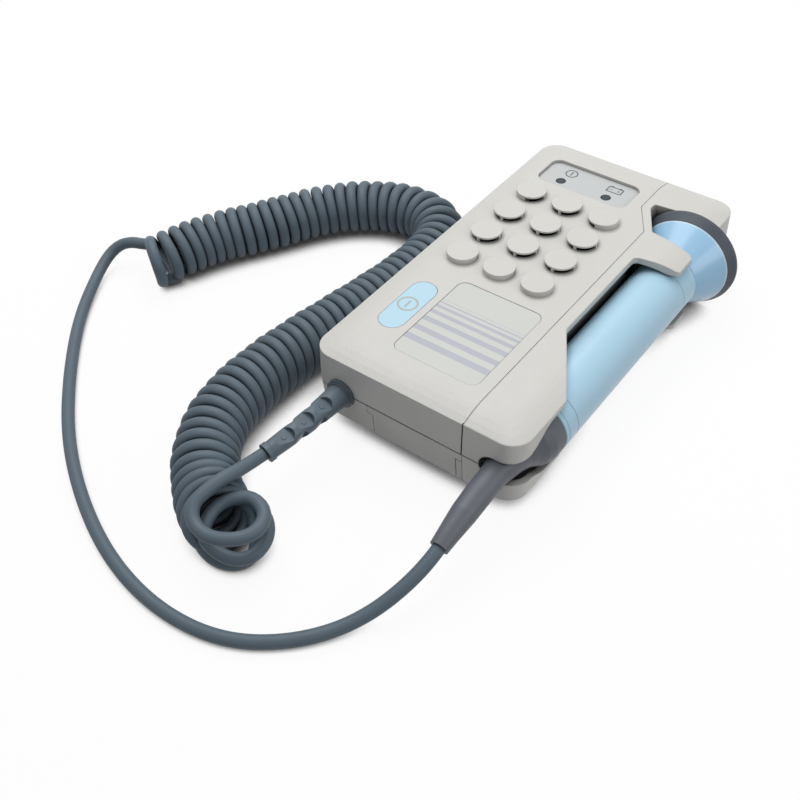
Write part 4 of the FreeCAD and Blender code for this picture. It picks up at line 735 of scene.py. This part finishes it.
class DopplerLoudspeaker(bpy.types.Operator):
    """Gasket, frame, cone and magnet behind the grille"""
    bl_idname = "doppler.loudspeaker"
    bl_label = "Loudspeaker"

    def execute(self, context):
        cloth = surface("Speaker Cloth", linear("141517"), rough=(0.8, 0.95),
                        grain=(2600.0, 0.00008), corner_shade=0.5)
        dress(("loudspeaker_cone", "loudspeaker_gasket"), cloth)
        steel = surface("Speaker Steel", linear("3A3C40"), rough=(0.35, 0.5), Metallic=1.0,
                        grain=(3500.0, 0.000008))
        dress(("loudspeaker_frame",), steel)
        magnet = surface("Magnet Steel", linear("6E7276"), rough=(0.3, 0.45), Metallic=1.0,
                         grain=(3500.0, 0.000008))
        dress(("loudspeaker_magnet",), magnet)
        return {"FINISHED"}


class DopplerElectronics(bpy.types.Operator):
    """Circuit boards, battery, volume control and their small parts"""
    bl_idname = "doppler.electronics"
    bl_label = "Electronics"

    def execute(self, context):
        mask = surface("Board Mask", linear("1E5B3C"), rough=(0.3, 0.42), grain=(900.0, 0.00001),
                       drift=0.25, scale=260.0)
        dress(("circuit_board", "probe_board"), mask)
        can = surface("Battery Can", linear("8D9094"), rough=(0.25, 0.35), Metallic=1.0,
                      grain=(2500.0, 0.000004), edge=0.0006)
        dress(("battery",), can)
        wheel = surface("Wheel Plastic", linear("3C4147"), rough=(0.5, 0.62), edge=0.0002,
                        grain=(1500.0, 0.00003), wear_and_highlight=0.12)
        dress(("volume_wheel",), wheel)
        pot = surface("Control Case", linear("4A4D52"), rough=(0.4, 0.5))
        dress(("volume_pot",), pot)
        return {"FINISHED"}


class DopplerProbe(bpy.types.Operator):
    """Rings, tube, cone, head and inside of the probe"""
    bl_idname = "doppler.probe"
    bl_label = "Probe"

    def execute(self, context):
        blue = surface("Probe Plastic", colours().probe, rough=(0.30, 0.40), edge=0.00025,
                       grain=(1800.0, 0.000008), drift=0.02, corner_shade=0.25, wear_and_highlight=0.05)
        dress(("probe_tail", "probe_tube", "probe_neck"), blue)
        cone = surface("Cone Plastic", colours().cone, rough=(0.18, 0.26), edge=0.00025,
                       grain=(1800.0, 0.000008), drift=0.02, corner_shade=0.25, wear_and_highlight=0.05)
        far = (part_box("probe_cone")[1].y - CORNER.y) / MM
        # A painted highlight: a pale band round the cone's wide end.
        rim = depth_stripes(cone.node_tree, far - 20, far + 5, ((far - 0.2, 0.6),))
        band_colours(cone, rim, colours().cone, colours().rim)
        dress(("probe_cone",), cone)
        ring = surface("Head Rubber", colours().ring, rough=(0.48, 0.6), edge=0.0004,
                       grain=(2200.0, 0.00001))
        dress(("probe_head_ring",), ring)
        face = surface("Face Plastic", linear("C8C9C6"), rough=(0.25, 0.35), edge=0.0004)
        dress(("probe_face",), face)
        ceramic = surface("Crystal Ceramic", linear("B9A98B"), rough=(0.3, 0.4))
        dress(("probe_crystals",), ceramic)
        foam = surface("Backing Foam", linear("5F5A52"), rough=(0.8, 0.95), grain=(1200.0, 0.0001))
        dress(("crystal_backing", "probe_board_carriers"), foam)
        # The boot and the strain relief carry painted shade in their hollows and creases.
        boot = surface("Boot Rubber", colours().boot, rough=(0.42, 0.55), edge=0.0002,
                       grain=(2600.0, 0.00001), drift=0.06, scale=60.0, corner_shade=0.45, hollow=0.6)
        dress(("probe_boot",), boot)
        relief = surface("Relief Rubber", colours().cord, rough=(0.42, 0.55), edge=0.0002,
                         grain=(2600.0, 0.00001), drift=0.06, scale=60.0, corner_shade=0.5, hollow=0.6)
        dress(("unit_strain_relief",), relief)
        return {"FINISHED"}


# ---- stage ------------------------------------------------------------------
def contact_shade(tree):
    """White that darkens within a centimetre of whatever stands on the floor."""
    near = open_sky(tree, 0.012, 16)
    shade = ramp(tree, near, 0.18, 0.64, interpolation_type="SMOOTHSTEP")
    shade.inputs["To Min"].default_value = 0.03
    return shade.outputs["Result"]


def background_rays(tree):
    """1 for the camera's rays and for those that a mirror or glass sends on, else 0."""
    path = add(tree, "ShaderNodeLightPath").outputs
    seen = calc(tree, "MAXIMUM", path["Is Camera Ray"], path["Is Glossy Ray"])
    return calc(tree, "MAXIMUM", seen, path["Is Transmission Ray"])


def white_for_camera(tree, shadow_shader, share):
    """The background's rays see white, with the shadow still in it."""
    part = calc(tree, "MULTIPLY", background_rays(tree), share)
    glow = add(tree, "ShaderNodeEmission")
    tree.links.new(contact_shade(tree), glow.inputs["Color"])
    mix = add(tree, "ShaderNodeMixShader")
    tree.links.new(part, mix.inputs["Fac"])
    tree.links.new(shadow_shader, mix.inputs[1])
    tree.links.new(glow.outputs[0], mix.inputs[2])
    return mix.outputs[0]


def add_camera(lens):
    data = bpy.data.cameras.new("camera")
    data.lens = lens
    data.sensor_width = 36.0
    data.clip_start = 0.01
    camera = new_object("camera", data)
    turned = Matrix(CAMERA_AXES).transposed().to_4x4()
    camera.matrix_world = Matrix.Translation(CAMERA_PLACE) @ turned
    bpy.context.scene.camera = camera


def add_floor():
    """A white sheet that takes the shadows and sends little light back up."""
    bm = bmesh.new()
    bmesh.ops.create_grid(bm, x_segments=1, y_segments=1, size=3.0)
    floor = mesh_object("floor", bm)
    material = bpy.data.materials.new("Studio Floor")
    material.use_nodes = True
    tree = material.node_tree
    shader = tree.nodes["Principled BSDF"]
    seen = add(tree, "ShaderNodeMix", data_type="RGBA")
    seen.inputs["A"].default_value = FLOOR_GREY
    seen.inputs["B"].default_value = WHITE
    path = add(tree, "ShaderNodeLightPath")
    tree.links.new(path.outputs["Is Camera Ray"], seen.inputs["Factor"])
    tree.links.new(seen.outputs["Result"], shader.inputs["Base Color"])
    shader.inputs["Roughness"].default_value = 0.9
    shader.inputs["Specular IOR Level"].default_value = 0.1
    mixed = white_for_camera(tree, shader.outputs[0], FLOOR_GLOW)
    tree.links.new(mixed, tree.nodes["Material Output"].inputs["Surface"])
    floor.data.materials.append(material)
    floor.location.z = -FLOOR_DROP


def add_world(sky):
    """Soft light from all round, behind a plain white background."""
    world = bpy.data.worlds.new("studio")
    bpy.context.scene.world = world
    world.use_nodes = True
    tree = world.node_tree
    soft = tree.nodes["Background"]
    soft.inputs["Color"].default_value = (0.93, 0.96, 1.0, 1)
    soft.inputs["Strength"].default_value = sky
    white = add(tree, "ShaderNodeBackground")
    white.inputs["Color"].default_value = WHITE
    white.inputs["Strength"].default_value = 1.0
    mix = add(tree, "ShaderNodeMixShader")
    tree.links.new(background_rays(tree), mix.inputs["Fac"])
    tree.links.new(soft.outputs[0], mix.inputs[1])
    tree.links.new(white.outputs[0], mix.inputs[2])
    tree.links.new(mix.outputs[0], tree.nodes["World Output"].inputs["Surface"])


def add_lamp(name, power, side, location, target):
    """A square lamp that shines from one point towards another."""
    data = bpy.data.lights.new(name, "AREA")
    data.shape = "RECTANGLE"
    data.size = data.size_y = side
    data.energy = power
    lamp = new_object(name, data)
    lamp.location = location
    aim = Vector(target) - Vector(location)
    lamp.rotation_euler = aim.to_track_quat("-Z", "Y").to_euler()


class DopplerStageScene(bpy.types.Operator):
    """Camera, lamps, world and the plain white floor"""
    bl_idname = "doppler.stage"
    bl_label = "Stage"

    def execute(self, context):
        stage = context.scene.doppler_stage
        add_camera(stage.lens)
        context.scene.view_settings.view_transform = "Standard"
        add_floor()
        add_world(stage.sky)
        add_lamp("key", stage.key, KEY_SIDE, KEY_PLACE, KEY_AIM)
        add_lamp("fill", stage.fill, FILL_SIDE, FILL_PLACE, FILL_AIM)
        return {"FINISHED"}


OPERATORS = (DopplerStageScene, DopplerProbeLead, DopplerCurlyCord, DopplerHousing, DopplerLabel,
             DopplerDisplay, DopplerPowerButton, DopplerLoudspeaker, DopplerElectronics,
             DopplerProbe)
GROUPS = (DopplerSizes, DopplerColours, DopplerStage)


class VIEW3D_PT_doppler(bpy.types.Panel):
    """Lists the pieces of the doppler and its settings"""
    bl_label = "Fetal Doppler"
    bl_space_type = "VIEW_3D"
    bl_region_type = "UI"
    bl_category = "Doppler"

    def draw(self, context):
        for operator in OPERATORS:
            self.layout.operator(operator.bl_idname)
        for group in (sizes(), colours(), context.scene.doppler_stage):
            for name in group.bl_rna.properties.keys():
                if name not in ("rna_type", "name"):
                    self.layout.prop(group, name)


def register():
    for made in GROUPS + OPERATORS + (VIEW3D_PT_doppler,):
        bpy.utils.register_class(made)
    bpy.types.Scene.doppler_sizes = PointerProperty(type=DopplerSizes)
    bpy.types.Scene.doppler_colours = PointerProperty(type=DopplerColours)
    bpy.types.Scene.doppler_stage = PointerProperty(type=DopplerStage)


def unregister():
    del bpy.types.Scene.doppler_stage
    del bpy.types.Scene.doppler_colours
    del bpy.types.Scene.doppler_sizes
    for made in (GROUPS + OPERATORS + (VIEW3D_PT_doppler,))[::-1]:
        bpy.utils.unregister_class(made)


def main():
    register()
    for operator in OPERATORS:
        group, name = operator.bl_idname.split(".")
        getattr(getattr(bpy.ops, group), name)()


if __name__ == "__main__":
    main()
